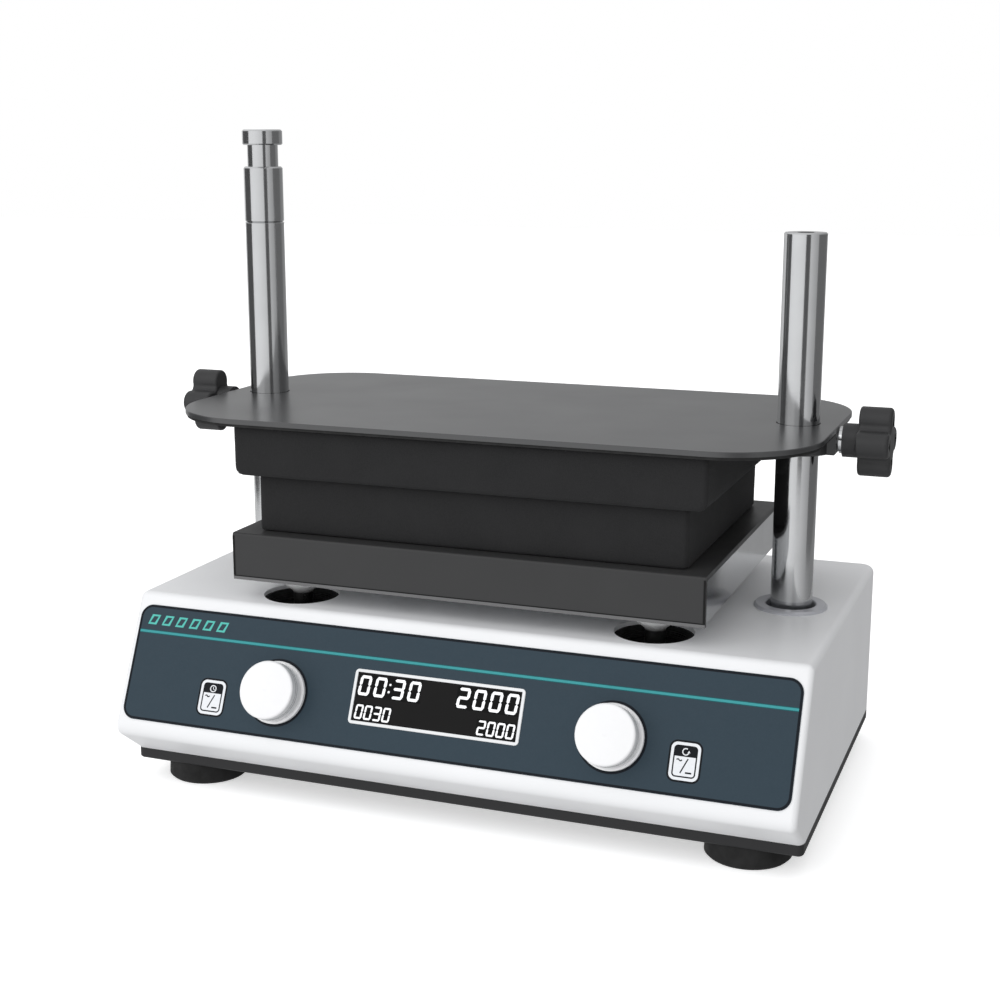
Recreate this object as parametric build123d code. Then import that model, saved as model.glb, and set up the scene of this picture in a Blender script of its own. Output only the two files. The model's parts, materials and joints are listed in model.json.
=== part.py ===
from build123d import *
import os
from math import atan2, cos, degrees, radians, sin, sqrt

# Multi-tube vortex mixer, in millimetres.
# While it is built, X = 0 is the machine's centre line, Y = 0 is the axis of the two posts (+Y is the
# rear) and Z = 0 is the surface under the feet. save() then moves every piece to the part's frame, whose
# origin is the centre of the whole machine's footprint.

# ---- driving dimensions -------------------------------------------------------------------------------
# Tray: the orbiting table, which sets the width and the depth of all that is above and below it
tray_half_x = 147.6
tray_front_y = -104.2
tray_rear_y = 99.0
tray_height = 29.1
tray_lift = 12.0              # from the casing's top to the tray's lower edge
tray_sheet = 3.0
tray_end_inset = 1.2
tray_end_sheet = 2.0
platform_plate_thickness = 6.0
platform_plate_lift = 1.6

# Casing
casing_top_z = 119.4
casing_side = 34.0            # from a post's axis to the side of the casing
casing_front = 7.6            # top edge of the slanted front, in front of the tray
casing_rear = 19.3            # rear wall, behind the tray
slant_reach = 37.4            # how far the chin stands out from the top edge
chin_z = 39.9
chin_undercut = 26.0
casing_wall = 2.5
chin_radius = 7.0
top_edge_radius = 4.5
side_edge_radius = 3.5
rear_corner_radius = 9.0
base_thickness = 6.8
foot_height = 13.5
foot_radius = 25.0
foot_inset_x = 35.4
foot_inset_y = 26.2

# Orbit drive
orbit_radius = 1.8
orbit_clearance = 0.7         # left between a post and its collar as the post orbits
drive_plate_drop = 23.4       # from the casing's top to the drive plate's underside
drive_plate_thickness = 8.0
drive_plate_margin = 16.0     # metal left round each standoff and each post
drive_pin_radius = 8.0
drive_shaft_radius = 6.0
drive_bearing_wall = 9.5
idler_pin_radius = 5.0
idler_bearing_wall = 6.0
idler_spread_x = 88.0
idler_front_y = -48.0
idler_rear_y = 82.0
crank_disc_radius = 22.0
counterweight_clearance = 11.0
counterweight_thickness = 12.0
motor_radius = 41.0
motor_height = 41.0
running_gap = 0.05            # radial clearance of a shaft in its bore
seat_gap = 0.02               # radial clearance of a piece fixed in a hole
lift_gap = 0.3                # between pieces that pass or rest on each other

# Standoffs and boots
standoff_inset_x = 34.6       # from the tray's end
standoff_inset_front = 24.3
standoff_inset_rear = 20.7
standoff_stem_radius = 6.0
standoff_head_radius = 15.0
standoff_pillar_radius = 8.0
boot_hole_radius = 23.3
boot_clearance = 1.7
boot_depth = 7.9
boot_wall = 1.5

# Tube rack
rack_inset_x = 13.1           # from the tray's edges
rack_inset_front = 10.2
rack_inset_rear = 14.0
rack_height = 34.8
tube_radius = 15.0
tube_depth = 26.0
tube_pitch_x = 50.0
tube_pitch_y = 52.0
tube_columns = 5
tube_rows = 3
dowel_radius = 4.0
dowel_inset = 9.5

# Posts
post_radius = 12.5
post_clear_of_tray = 15.9
post_top_z = 342.5
post_foot_radius = 8.0
collar_neck_wall = 3.0
collar_rim = 4.0
collar_height = 2.0
socket_radius = 5.0
socket_depth = 20.0
post_nut_across_flats = 24.0
post_nut_height = 12.0
extension_shank = 35.0
extension_neck_radius = 9.8
extension_neck = 13.6
extension_head_radius = 12.85
extension_head = 9.7

# Clamp plate
plate_side = 24.0             # from a post's axis to the plate's end
plate_front = 3.8             # how far the plate overhangs the tray
plate_rear = 2.0
plate_corner_radius = 57.0
plate_thickness = 3.0
damping_thickness = 1.8
damping_inset = 1.0
damping_clearance = 0.3       # between the damping sheet's cut-outs and the bosses
pad_height = 30.9
pad_inset_x = 1.1             # from the tray's edges
pad_inset_front = 2.5
pad_inset_rear = 2.0
pad_edge_radius = 5.5
boss_wall = 9.5
boss_height = 13.3
boss_nub_width = 22.0

# Clamp screws and star knobs
clamp_screw_radius = 4.0
clamp_screw_cover = 1.5       # metal between a clamp screw and the plate
clamp_tip_length = 2.6
clamp_tip_reduction = 0.8
clamp_collar_width = 4.0
clamp_collar_length = 2.0
star_hub_wall = 6.0
star_hub_length = 9.0
star_hub_start = 3.0          # from the end of the boss to the hub
star_head_length = 19.0
star_stud_grip = 10.0
star_core_radius = 12.0
star_lobe_radius = 7.6
star_lobe_centre = 12.9
star_lobes = 4

# Front panel, measured down the slant from the top edge
overlay_inset_x = 4.0
overlay_start = 7.7
overlay_end = 78.8
overlay_radius = 8.0
overlay_thickness = 0.5
display_centre_x = -2.0
display_centre_down = 47.5
display_width = 106.0
display_height = 32.2
bezel_line = 1.8
bezel_lift = 0.7
window_thickness = 2.0
knob_x = 104.0
knob_down = 51.7
knob_radius = 17.25
knob_ring_overhang = 1.5
knob_ring_bore = 12.0
knob_ring_height = 2.6
knob_lift = 4.4               # knob's lower rim above the casing
knob_front = 16.0
knob_wall = 2.2
knob_crown = 0.8
push_travel = 0.8
encoder_shaft_radius = 3.0
encoder_flat = 1.0            # depth of the flat on the shaft
encoder_size = 14.0
encoder_depth = 12.5
encoder_floor = 0.6
encoder_bush_wall = 1.5
board_thickness = 1.6
board_overhang = 20.0         # past each knob's axis
board_height = 42.0
board_pillar_inset = 5.0

# Rear fittings
inlet_inset_x = 60.0          # from the side of the casing
switch_spacing = 42.0         # from the inlet to the switch
fitting_z = 62.0
fitting_flange = 2.5
rocker_tilt = 8.0
vent_count = 12
vent_pitch = 8.0
vent_inset_x = 58.0
vent_width = 3.0
vent_length = 38.0
vent_z = 66.0

# ---- sizes that follow --------------------------------------------------------------------------------
post_x = tray_half_x + post_clear_of_tray + post_radius
half_width = post_x + casing_side
front_top_y = tray_front_y - casing_front      # where the slanted front meets the top
chin_y = front_top_y - slant_reach             # the casing's foremost line
front_foot_y = chin_y + chin_undercut          # lower front edge, under the chin
rear_y = tray_rear_y + casing_rear
base_top_z = foot_height + base_thickness
drive_y = -orbit_radius                        # the motor's axis: at rest the crank points to the rear
drive_plate_z = casing_top_z - drive_plate_drop
drive_plate_top_z = drive_plate_z + drive_plate_thickness
drive_bearing_radius = drive_pin_radius + drive_bearing_wall
idler_bearing_radius = idler_pin_radius + idler_bearing_wall
lean = atan2(slant_reach, casing_top_z - chin_z)
tray_bottom_z = casing_top_z + tray_lift
tray_top_z = tray_bottom_z + tray_height
tray_inside_top_z = tray_top_z - tray_sheet
platform_plate_z = tray_bottom_z + platform_plate_lift
standoff_x = tray_half_x - standoff_inset_x
standoff_front_y = tray_front_y + standoff_inset_front
standoff_rear_y = tray_rear_y - standoff_inset_rear
boot_neck_radius = standoff_stem_radius + orbit_radius + boot_clearance
rack_half_x = tray_half_x - rack_inset_x
rack_front_y = tray_front_y + rack_inset_front
rack_rear_y = tray_rear_y - rack_inset_rear
rack_centre_y = (rack_front_y + rack_rear_y) / 2
rack_top_z = tray_top_z + rack_height
dowel_x = rack_half_x - dowel_inset
collar_hole_radius = post_radius + orbit_radius + orbit_clearance
collar_neck_radius = collar_hole_radius + collar_neck_wall
collar_outer_radius = collar_neck_radius + collar_rim
extension_shoulder_z = post_top_z + extension_shank
extension_neck_top_z = extension_shoulder_z + extension_neck
extension_top_z = extension_neck_top_z + extension_head
pad_half_x = tray_half_x - pad_inset_x
pad_front_y = tray_front_y + pad_inset_front
pad_rear_y = tray_rear_y - pad_inset_rear
pad_bottom_z = rack_top_z + lift_gap
damping_z = pad_bottom_z + pad_height
plate_z = damping_z + damping_thickness
plate_top_z = plate_z + plate_thickness
plate_half_x = post_x + plate_side
plate_front_y = tray_front_y - plate_front
plate_rear_y = tray_rear_y + plate_rear
boss_radius = post_radius + boss_wall
boss_z = plate_z - boss_height
boss_end_x = plate_half_x
clamp_screw_z = plate_z - clamp_screw_cover - clamp_screw_radius
tip_x = post_x + post_radius + running_gap
foot_x = half_width - foot_inset_x
foot_front_y = front_foot_y + foot_inset_y
foot_rear_y = rear_y - foot_inset_y
overlay_half_x = half_width - overlay_inset_x
knob_ring_radius = knob_radius + knob_ring_overhang
encoder_bush_radius = encoder_shaft_radius + encoder_bush_wall
board_half_x = knob_x + board_overhang
inlet_x = half_width - inlet_inset_x
switch_x = inlet_x - switch_spacing
vent_first_x = vent_inset_x - half_width

# Foremost and rearmost points of the whole machine: the knobs' rounded edges and the rear flanges.
knob_edge_round = 1.3
knob_dome_radius = (knob_radius ** 2 + knob_crown ** 2) / (2 * knob_crown)
knob_round_x = knob_radius - knob_edge_round
knob_round_z = knob_front - knob_dome_radius + sqrt(
    (knob_dome_radius - knob_edge_round) ** 2 - knob_round_x ** 2
)
knob_reach = (knob_down + knob_round_x) * sin(lean) + knob_round_z * cos(lean) + knob_edge_round
front_reach_y = front_top_y - knob_reach
rear_reach_y = rear_y + fitting_flange
frame_y = -(front_reach_y + rear_reach_y) / 2

panel = Plane(
    origin=(0, front_top_y, casing_top_z), x_dir=(1, 0, 0), z_dir=(0, -cos(lean), sin(lean))
)
standoff_places = [
    (side * standoff_x, y) for side in (-1, 1) for y in (standoff_front_y, standoff_rear_y)
]
foot_places = [(side * foot_x, y) for side in (-1, 1) for y in (foot_front_y, foot_rear_y)]
idler_places = [
    (-idler_spread_x, idler_front_y), (idler_spread_x, idler_front_y), (0.0, idler_rear_y)
]
tube_places = [
    ((i - (tube_columns - 1) / 2) * tube_pitch_x, rack_centre_y + (j - (tube_rows - 1) / 2) * tube_pitch_y)
    for i in range(tube_columns) for j in range(tube_rows)
]

# Screws through the base plate. They hold the casing, the motor, the pedestals and the two power boxes.
screw_radius = 2.5
screw_head_radius = 4.6
screw_head_height = 2.8
screw_reach = 14.0            # length of thread above the base plate
corner_boss_radius = 6.5
corner_boss_height = 26.0
corner_inset = 17.0            # from the side of the casing
corner_from_foot = 37.0        # from the centre of the nearest foot, along the side
motor_screw_radius = 31.0
pedestal_radius = 15.0
pedestal_flange_radius = 23.0
pedestal_flange_height = 8.0
pedestal_screw_radius = 18.0
power_box_inset = 28.0         # from the side of the casing
supply_front_y = 30.0
supply_size = (96.0, 62.0, 38.0)
driver_front_y = 4.0
driver_size = (84.0, 58.0, 30.0)
supply_corner = (-half_width + power_box_inset, supply_front_y)
driver_corner = (half_width - power_box_inset - driver_size[0], driver_front_y)
box_screw_inset = 8.0

corner_places = [
    (side * (half_width - corner_inset), y)
    for side in (-1, 1) for y in (foot_front_y + corner_from_foot, foot_rear_y - corner_from_foot)
]
motor_screw_places = [
    (motor_screw_radius * cos(radians(a)), drive_y + motor_screw_radius * sin(radians(a)))
    for a in (45, 135, 225, 315)
]
pedestal_screw_places = [
    (x + side * pedestal_screw_radius, drive_y + y) for x, y in idler_places for side in (-1, 1)
]


def box_screws(corner, size):
    """Two screw places on the diagonal of a box that stands on the base plate."""
    near = (corner[0] + box_screw_inset, corner[1] + box_screw_inset)
    far = (corner[0] + size[0] - box_screw_inset, corner[1] + size[1] - box_screw_inset)
    return [near, far]


chassis_screw_places = (
    corner_places + motor_screw_places + pedestal_screw_places
    + box_screws(supply_corner, supply_size) + box_screws(driver_corner, driver_size)
)


# ---- helpers ------------------------------------------------------------------------------------------
def save(name, shape):
    """Move one piece to the part's frame and write it."""
    os.makedirs("parts", exist_ok=True)
    export_step(Pos(0, frame_y, 0) * shape, f"parts/{name}.step")


def upright(radius, low, high, x=0.0, y=0.0):
    """A vertical cylinder between two heights."""
    return Pos(x, y, (low + high) / 2) * Cylinder(radius, high - low)


def along_x(radius, start, end, y, z):
    """A cylinder along X between two places."""
    return Pos((start + end) / 2, y, z) * Rot(0, 90, 0) * Cylinder(radius, abs(end - start))


def block(x, y, z):
    """A box from three (low, high) pairs."""
    size = [high - low for low, high in (x, y, z)]
    middle = [(high + low) / 2 for low, high in (x, y, z)]
    return Pos(*middle) * Box(*size)


def group(shapes):
    return Compound(list(shapes))


def on_panel(x, down, lift=0.0):
    """A place on the slanted front: down the slant from its top edge, lifted off the casing."""
    return panel.location * Pos(x, -down, lift)


def turned(points):
    """A solid of revolution about Z from (radius, height) points."""
    face = Plane.XZ * make_face(Polyline(*points, close=True))
    return revolve(face, Axis.Z, 360)


def edges_along(shape, axis):
    return shape.edges().filter_by(axis)


def outline_edges(shape, axis, high=True):
    """The edges round the highest (or lowest) face along an axis."""
    faces = shape.faces().sort_by(axis)
    return faces[-1].edges() if high else faces[0].edges()


# ---- casing and base ----------------------------------------------------------------------------------
def casing_profile():
    return make_face(Polyline(
        (front_top_y, casing_top_z), (chin_y, chin_z), (front_foot_y, base_top_z),
        (rear_y, base_top_z), (rear_y, casing_top_z), close=True,
    ))


def casing():
    profile = casing_profile()
    body = extrude(Plane.YZ * profile, half_width, both=True)
    chin = [e for e in edges_along(body, Axis.X) if abs(e.center().Z - chin_z) < 0.1]
    body = fillet(chin, chin_radius)
    body = fillet(edges_along(body, Axis.Z).group_by(Axis.Y)[-1], rear_corner_radius)
    body = fillet([e for e in body.edges() if e.center().Z > casing_top_z - 0.1], top_edge_radius)
    slanted = [
        e for e in body.edges()
        if abs(abs(e.center().X) - half_width) < 0.01 and e.center().Y < front_top_y + 1.0
        and base_top_z + 0.1 < e.center().Z < casing_top_z - 0.1
    ]
    body = fillet(slanted, side_edge_radius)

    inside = offset(profile, amount=-casing_wall, kind=Kind.INTERSECTION)
    hollow = extrude(Plane.YZ * inside, half_width - casing_wall, both=True)
    hollow += block(
        (-half_width + casing_wall, half_width - casing_wall),
        (front_foot_y + casing_wall * 1.2, rear_y - casing_wall),
        (foot_height, base_top_z + 2 * casing_wall),
    )
    inner_corners = edges_along(hollow, Axis.Z).group_by(Axis.Y)[-1]
    body -= fillet(inner_corners, rear_corner_radius - casing_wall)

    # Bosses in the lower corners take the screws that hold the base plate.
    for x, y in corner_places:
        side = 1 if x > 0 else -1
        reach = sorted((x, side * (half_width - casing_wall / 2)))
        boss = upright(corner_boss_radius, base_top_z, base_top_z + corner_boss_height, x, y)
        web = block(
            reach, (y - corner_boss_radius, y + corner_boss_radius),
            (base_top_z, base_top_z + corner_boss_height),
        )
        body += boss + web
        body -= upright(screw_radius + seat_gap, base_top_z - 1, base_top_z + screw_reach + 1, x, y)

    # Holes in the top for the standoffs and the posts, centred on their orbits.
    for x, y in standoff_places:
        body -= upright(boot_hole_radius, casing_top_z - 9, casing_top_z + 9, x, y + drive_y)
    for side in (-1, 1):
        body -= upright(
            collar_neck_radius + seat_gap, casing_top_z - 9, casing_top_z + 9, side * post_x, drive_y
        )

    # Holes in the slanted front for the display and the two encoder bushes.
    body -= on_panel(display_centre_x, display_centre_down) * Box(
        display_width - 2 * bezel_line, display_height - 2 * bezel_line, 4 * casing_wall
    )
    for side in (-1, 1):
        bush_hole = Cylinder(encoder_bush_radius + seat_gap, 4 * casing_wall)
        body -= on_panel(side * knob_x, knob_down) * bush_hole

    # Rear wall: mains inlet, switch and a row of narrow vents.
    for x, z, (width, height) in ((inlet_x, fitting_z, inlet_body), (switch_x, fitting_z, switch_body)):
        body -= Pos(x, rear_y, z) * Box(width + 2 * seat_gap, 4 * casing_wall, height + 2 * seat_gap)
    slot = extrude(Plane.XZ * SlotOverall(vent_length, vent_width, rotation=90), 2 * casing_wall, both=True)
    for i in range(vent_count):
        body -= Pos(vent_first_x + i * vent_pitch, rear_y, vent_z) * slot
    return body


def base_plate():
    plate = block(
        (-half_width, half_width), (front_foot_y, rear_y), (foot_height, base_top_z)
    )
    corners = edges_along(plate, Axis.Z)
    plate = fillet(corners.group_by(Axis.Y)[-1], rear_corner_radius)
    plate = fillet(edges_along(plate, Axis.Z).group_by(Axis.Y)[0], side_edge_radius)
    plate = chamfer(outline_edges(plate, Axis.Z, high=False), 0.8)
    for x, y in chassis_screw_places:
        plate -= upright(screw_radius + seat_gap, foot_height - 1, base_top_z + 1, x, y)
        plate -= upright(
            screw_head_radius + seat_gap, foot_height - 1, foot_height + screw_head_height, x, y
        )
    for x, y in foot_places:
        plate -= upright(screw_radius + seat_gap, foot_height - 1, base_top_z + 1, x, y)
    return plate


def rubber_foot(x, y):
    draft = 1.5
    recess = screw_head_radius + 0.6
    foot = turned([
        (0, 0), (foot_radius - draft, 0), (foot_radius, draft), (foot_radius - draft / 2, foot_height),
        (0, foot_height),
    ])
    foot -= upright(recess, -1, foot_height / 2)
    foot -= upright(screw_radius + seat_gap, 0, foot_height + 1)
    return Pos(x, y, 0) * foot


def pan_screw(x, y, seat_z, length):
    """A screw that points up, its head's seat at seat_z, with a cross-wise drive slot."""
    screw = upright(screw_head_radius, seat_z - screw_head_height, seat_z, x, y)
    screw = chamfer(screw.edges().group_by(Axis.Z)[0], 0.6)
    screw += upright(screw_radius, seat_z, seat_z + length, x, y)
    slot = Pos(x, y, seat_z - screw_head_height) * Box(screw_head_radius * 1.2, 1.0, 2.4)
    return screw - slot - slot.rotate(Axis((x, y, 0), (0, 0, 1)), 90)


def foot_screws():
    return group(
        pan_screw(x, y, foot_height / 2, foot_height / 2 + base_thickness - 0.5) for x, y in foot_places
    )


def chassis_screws():
    length = base_thickness - screw_head_height + screw_reach
    return group(
        pan_screw(x, y, foot_height + screw_head_height, length) for x, y in chassis_screw_places
    )


# ---- front panel --------------------------------------------------------------------------------------
def panel_overlay():
    centre = (overlay_start + overlay_end) / 2
    sheet = extrude(
        RectangleRounded(2 * overlay_half_x, overlay_end - overlay_start, overlay_radius), overlay_thickness
    )
    sheet = on_panel(0, centre) * sheet
    sheet -= on_panel(display_centre_x, display_centre_down) * Box(
        display_width - 2 * bezel_line, display_height - 2 * bezel_line, 4
    )
    for side in (-1, 1):
        sheet -= on_panel(side * knob_x, knob_down) * Cylinder(encoder_bush_radius + seat_gap, 4)
    return sheet


def display_bezel():
    outer = RectangleRounded(display_width, display_height, 2.4)
    inner = Rectangle(display_width - 2 * bezel_line, display_height - 2 * bezel_line)
    frame = extrude(outer - inner, bezel_lift)
    frame = fillet(frame.faces().sort_by(Axis.Z)[-1].outer_wire().edges(), 0.4)
    return on_panel(display_centre_x, display_centre_down, overlay_thickness) * frame


def display_window():
    pane = Box(
        display_width - 2 * bezel_line - 2 * seat_gap, display_height - 2 * bezel_line - 2 * seat_gap,
        window_thickness,
    )
    return on_panel(display_centre_x, display_centre_down, overlay_thickness - window_thickness / 2) * pane


def display_module():
    """The liquid-crystal cell and its frame, between the window and the board."""
    top = overlay_thickness - window_thickness
    cell = Box(display_width - 4, display_height - 4 - 2 * seat_gap, 2.0)
    tail = Box(display_width - 14, display_height - 10, encoder_depth + top - 2.0)
    shape = Pos(0, 0, top - 1.0) * cell + Pos(0, 0, (top - 2.0 - encoder_depth) / 2) * tail
    return on_panel(display_centre_x, display_centre_down) * shape


def control_board():
    board = on_panel(0, knob_down, -encoder_depth - board_thickness / 2) * Box(
        2 * board_half_x, board_height, board_thickness
    )
    for x, down in pillar_places:
        board -= on_panel(x, down, -encoder_depth) * Cylinder(1.6, 4 * board_thickness)
    return board


pillar_places = [
    (side * (board_half_x - board_pillar_inset), knob_down + up * (board_height / 2 - board_pillar_inset))
    for side in (-1, 1) for up in (-1, 1)
]


def board_pillars():
    """Threaded pillars from the casing's wall, each with a screw that ends behind the board."""
    length = encoder_depth - casing_wall
    pillars = []
    for x, down in pillar_places:
        pillar = on_panel(x, down, -casing_wall - length / 2) * extrude(
            RegularPolygon(3.4, 6), length / 2, both=True
        )
        pillar += on_panel(x, down, -encoder_depth - board_thickness / 2) * Cylinder(1.5, board_thickness)
        pillar += on_panel(x, down, -encoder_depth - board_thickness - 1.0) * Cylinder(2.8, 2.0)
        pillars.append(pillar)
    return group(pillars)


def knob_ring(side):
    """The threaded trim ring round an encoder's bush, which clamps it to the casing."""
    high = overlay_thickness + knob_ring_height
    ring = turned([
        (encoder_bush_radius + seat_gap, overlay_thickness), (knob_ring_radius, overlay_thickness),
        (knob_ring_radius, high - 0.6), (knob_ring_radius - 0.6, high), (knob_ring_bore, high),
        (knob_ring_bore, overlay_thickness + 1.2),
        (encoder_bush_radius + seat_gap, overlay_thickness + 1.2),
    ])
    return on_panel(side * knob_x, knob_down) * ring


def encoder(side):
    """Encoder housing with its bush: the shaft turns and slides in its bore."""
    housing = Pos(0, 0, -(casing_wall + encoder_depth) / 2) * Box(
        encoder_size, encoder_size, encoder_depth - casing_wall
    )
    bush = upright(encoder_bush_radius, -casing_wall, overlay_thickness + 1.8)
    bore = upright(encoder_shaft_radius + running_gap, encoder_floor - encoder_depth, overlay_thickness + 3)
    return on_panel(side * knob_x, knob_down) * (housing + bush - bore)


plunger_height = 2.0
plunger_z = encoder_floor + push_travel + 0.2 - encoder_depth
shaft_end_z = plunger_z + plunger_height
shaft_front_z = knob_front - 2.4


def push_plunger(side):
    """The button of the encoder's push switch, behind its shaft."""
    return on_panel(side * knob_x, knob_down) * upright(
        encoder_shaft_radius - 0.1, plunger_z, plunger_z + plunger_height
    )


def encoder_shaft(side):
    shaft = upright(encoder_shaft_radius, shaft_end_z, shaft_front_z)
    flat = block((-9, 9), (encoder_shaft_radius - encoder_flat, 9), (knob_lift + 2.0, knob_front))
    return on_panel(side * knob_x, knob_down) * (shaft - flat)


def control_knob(side):
    """A knob with a slightly crowned face, hollow behind, with a hub on the encoder's shaft."""
    shoulder = knob_front - knob_crown
    middle = knob_front - knob_dome_radius + sqrt(knob_dome_radius ** 2 - (knob_radius / 2) ** 2)
    profile = make_face(
        Polyline((0, knob_front), (0, knob_lift), (knob_radius, knob_lift), (knob_radius, shoulder))
        + ThreePointArc((knob_radius, shoulder), (knob_radius / 2, middle), (0, knob_front))
    )
    corner = [v for v in profile.vertices() if v.X > knob_radius - 0.1 and v.Y > shoulder - 0.1]
    knob = revolve(Plane.XZ * fillet(corner, knob_edge_round), Axis.Z, 360)
    knob -= upright(knob_radius - knob_wall, knob_lift - 1, knob_front - 3.4)
    knob += upright(encoder_shaft_radius + 2.2, knob_lift + 0.6, knob_front - 3.0)
    bore = upright(encoder_shaft_radius + seat_gap, knob_lift - 1, shaft_front_z + seat_gap)
    flat = block(
        (-9, 9), (encoder_shaft_radius - encoder_flat + seat_gap, 9),
        (knob_lift + 2.0 + seat_gap, knob_front)
    )
    collar = upright(encoder_shaft_radius + 2.2, knob_lift + 0.6, knob_lift + 2.0)
    return on_panel(side * knob_x, knob_down) * (knob - (bore - flat) - (bore & collar))


# ---- orbit drive --------------------------------------------------------------------------------------
crank_disc_thickness = 15.5
crank_shoulder = 12.5         # from the top of the disc to the drive plate
crank_disc_z = drive_plate_z - crank_shoulder - crank_disc_thickness
counterweight_radius = idler_rear_y - pedestal_radius - counterweight_clearance
motor_boss_height = 5.0
shaft_foot_z = base_top_z + 5.0
idler_disc_thickness = 8.0
idler_disc_z = drive_plate_z - 3.5 - idler_disc_thickness
pedestal_top_z = idler_disc_z - lift_gap
pin_top_z = drive_plate_top_z + 2.0


def drive_motor():
    motor = upright(motor_radius, base_top_z, base_top_z + motor_height)
    motor = fillet(outline_edges(motor, Axis.Z), 2.5)
    motor += upright(motor_radius / 2, base_top_z, base_top_z + motor_height + motor_boss_height)
    motor -= upright(drive_shaft_radius + running_gap, base_top_z + 4, drive_plate_z)
    motor = Pos(0, drive_y, 0) * motor
    for x, y in motor_screw_places:
        motor -= upright(screw_radius + seat_gap, base_top_z - 1, base_top_z + screw_reach + 1, x, y)
    return motor


def drive_shaft():
    """Motor shaft, crank disc and the eccentric pin that carries the platform."""
    shaft = upright(drive_shaft_radius, shaft_foot_z, crank_disc_z, 0, drive_y)
    shaft += upright(crank_disc_radius, crank_disc_z, crank_disc_z + crank_disc_thickness, 0, drive_y)
    shaft += upright(drive_pin_radius + 3, crank_disc_z, drive_plate_z - 0.8)
    shaft += upright(drive_pin_radius, crank_disc_z, pin_top_z)
    return shaft


def counterweight():
    """Half-round steel weight round the crank disc, on the side away from the eccentric pin."""
    ring = upright(counterweight_radius, crank_disc_z, crank_disc_z + counterweight_thickness)
    ring -= upright(
        crank_disc_radius + seat_gap, crank_disc_z - 1, crank_disc_z + counterweight_thickness + 1
    )
    half = block(
        (-counterweight_radius, counterweight_radius), (-counterweight_radius, 0),
        (crank_disc_z, crank_disc_z + counterweight_thickness),
    )
    weight = ring & half
    weight = fillet(edges_along(weight, Axis.Z).group_by(SortBy.DISTANCE)[-1], 4.0)
    return Pos(0, drive_y, 0) * weight


def idler_pedestals():
    pedestals = []
    for x, y in idler_places:
        place = Pos(x, drive_y + y, 0)
        pedestal = upright(pedestal_radius, base_top_z, pedestal_top_z)
        pedestal += upright(pedestal_flange_radius, base_top_z, base_top_z + pedestal_flange_height)
        pedestal -= upright(
            idler_pin_radius + running_gap, base_top_z + screw_reach + 12, pedestal_top_z + 1
        )
        for side in (-1, 1):
            pedestal -= upright(
                screw_radius + seat_gap, base_top_z - 1, base_top_z + screw_reach + 1,
                side * pedestal_screw_radius, 0,
            )
        pedestals.append(place * pedestal)
    return group(pedestals)


def idler_crank(x, y):
    """A crank with the motor's own throw, so that the platform orbits without turning."""
    foot_z = base_top_z + screw_reach + 13
    crank = upright(idler_pin_radius, foot_z, idler_disc_z, x, drive_y + y)
    disc_top_z = idler_disc_z + idler_disc_thickness
    crank += upright(idler_bearing_radius + 1.5, idler_disc_z, disc_top_z, x, drive_y + y)
    crank += upright(idler_pin_radius, idler_disc_z, pin_top_z, x, y)
    return crank


def drive_plate():
    """Plate inside the casing that the drive moves: it carries the standoffs and the posts."""
    edge = standoff_stem_radius * 2 + 4
    table = block(
        (-standoff_x - edge, standoff_x + edge), (standoff_front_y - edge, standoff_rear_y + edge),
        (drive_plate_z, drive_plate_top_z),
    )
    arm = block(
        (-post_x - drive_plate_margin, post_x + drive_plate_margin),
        (-post_radius - drive_plate_margin, post_radius + drive_plate_margin),
        (drive_plate_z, drive_plate_top_z),
    )
    plate = fillet(edges_along(table + arm, Axis.Z), 8.0)
    plate -= upright(drive_bearing_radius + seat_gap, drive_plate_z - 1, drive_plate_top_z + 1)
    for x, y in idler_places:
        plate -= upright(idler_bearing_radius + seat_gap, drive_plate_z - 1, drive_plate_top_z + 1, x, y)
    for x, y in standoff_places:
        plate -= Pos(x, y, 0) * countersink(drive_plate_z, up=True)
    for side in (-1, 1):
        plate -= upright(
            post_foot_radius + seat_gap, drive_plate_z - 1, drive_plate_top_z + 1, side * post_x, 0
        )
    return plate


def crank_bearings():
    """Bearings pressed in the drive plate: one on the motor's eccentric pin, one on each idler's."""
    def ring(outer, inner, x, y):
        shape = upright(outer, drive_plate_z, drive_plate_top_z, x, y)
        shape -= upright(inner + running_gap, drive_plate_z - 1, drive_plate_top_z + 1, x, y)
        return shape

    rings = [ring(drive_bearing_radius, drive_pin_radius, 0, 0)]
    rings += [ring(idler_bearing_radius, idler_pin_radius, x, y) for x, y in idler_places]
    return group(rings)


# ---- platform -----------------------------------------------------------------------------------------
platform_screw_radius = 3.0
platform_screw_head = 5.6
platform_screw_length = 14.0
standoff_flange_height = 3.5
boot_top_z = casing_top_z - casing_wall
boot_floor_z = boot_top_z - boot_depth


def shaft_boots():
    """Rubber boots under the four holes of the casing's top, open for the orbiting stems."""
    lip = boot_hole_radius + 4.0
    boot = turned([
        (boot_hole_radius - 1.5, boot_top_z), (lip, boot_top_z), (lip, boot_top_z - boot_wall),
        (boot_hole_radius - 0.5, boot_top_z - boot_wall), (boot_hole_radius - 4.0, boot_floor_z),
        (boot_neck_radius, boot_floor_z), (boot_neck_radius, boot_floor_z + boot_wall),
        (boot_hole_radius - 5.0, boot_floor_z + boot_wall),
    ])
    return group(Pos(x, y + drive_y, 0) * boot for x, y in standoff_places)


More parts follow.
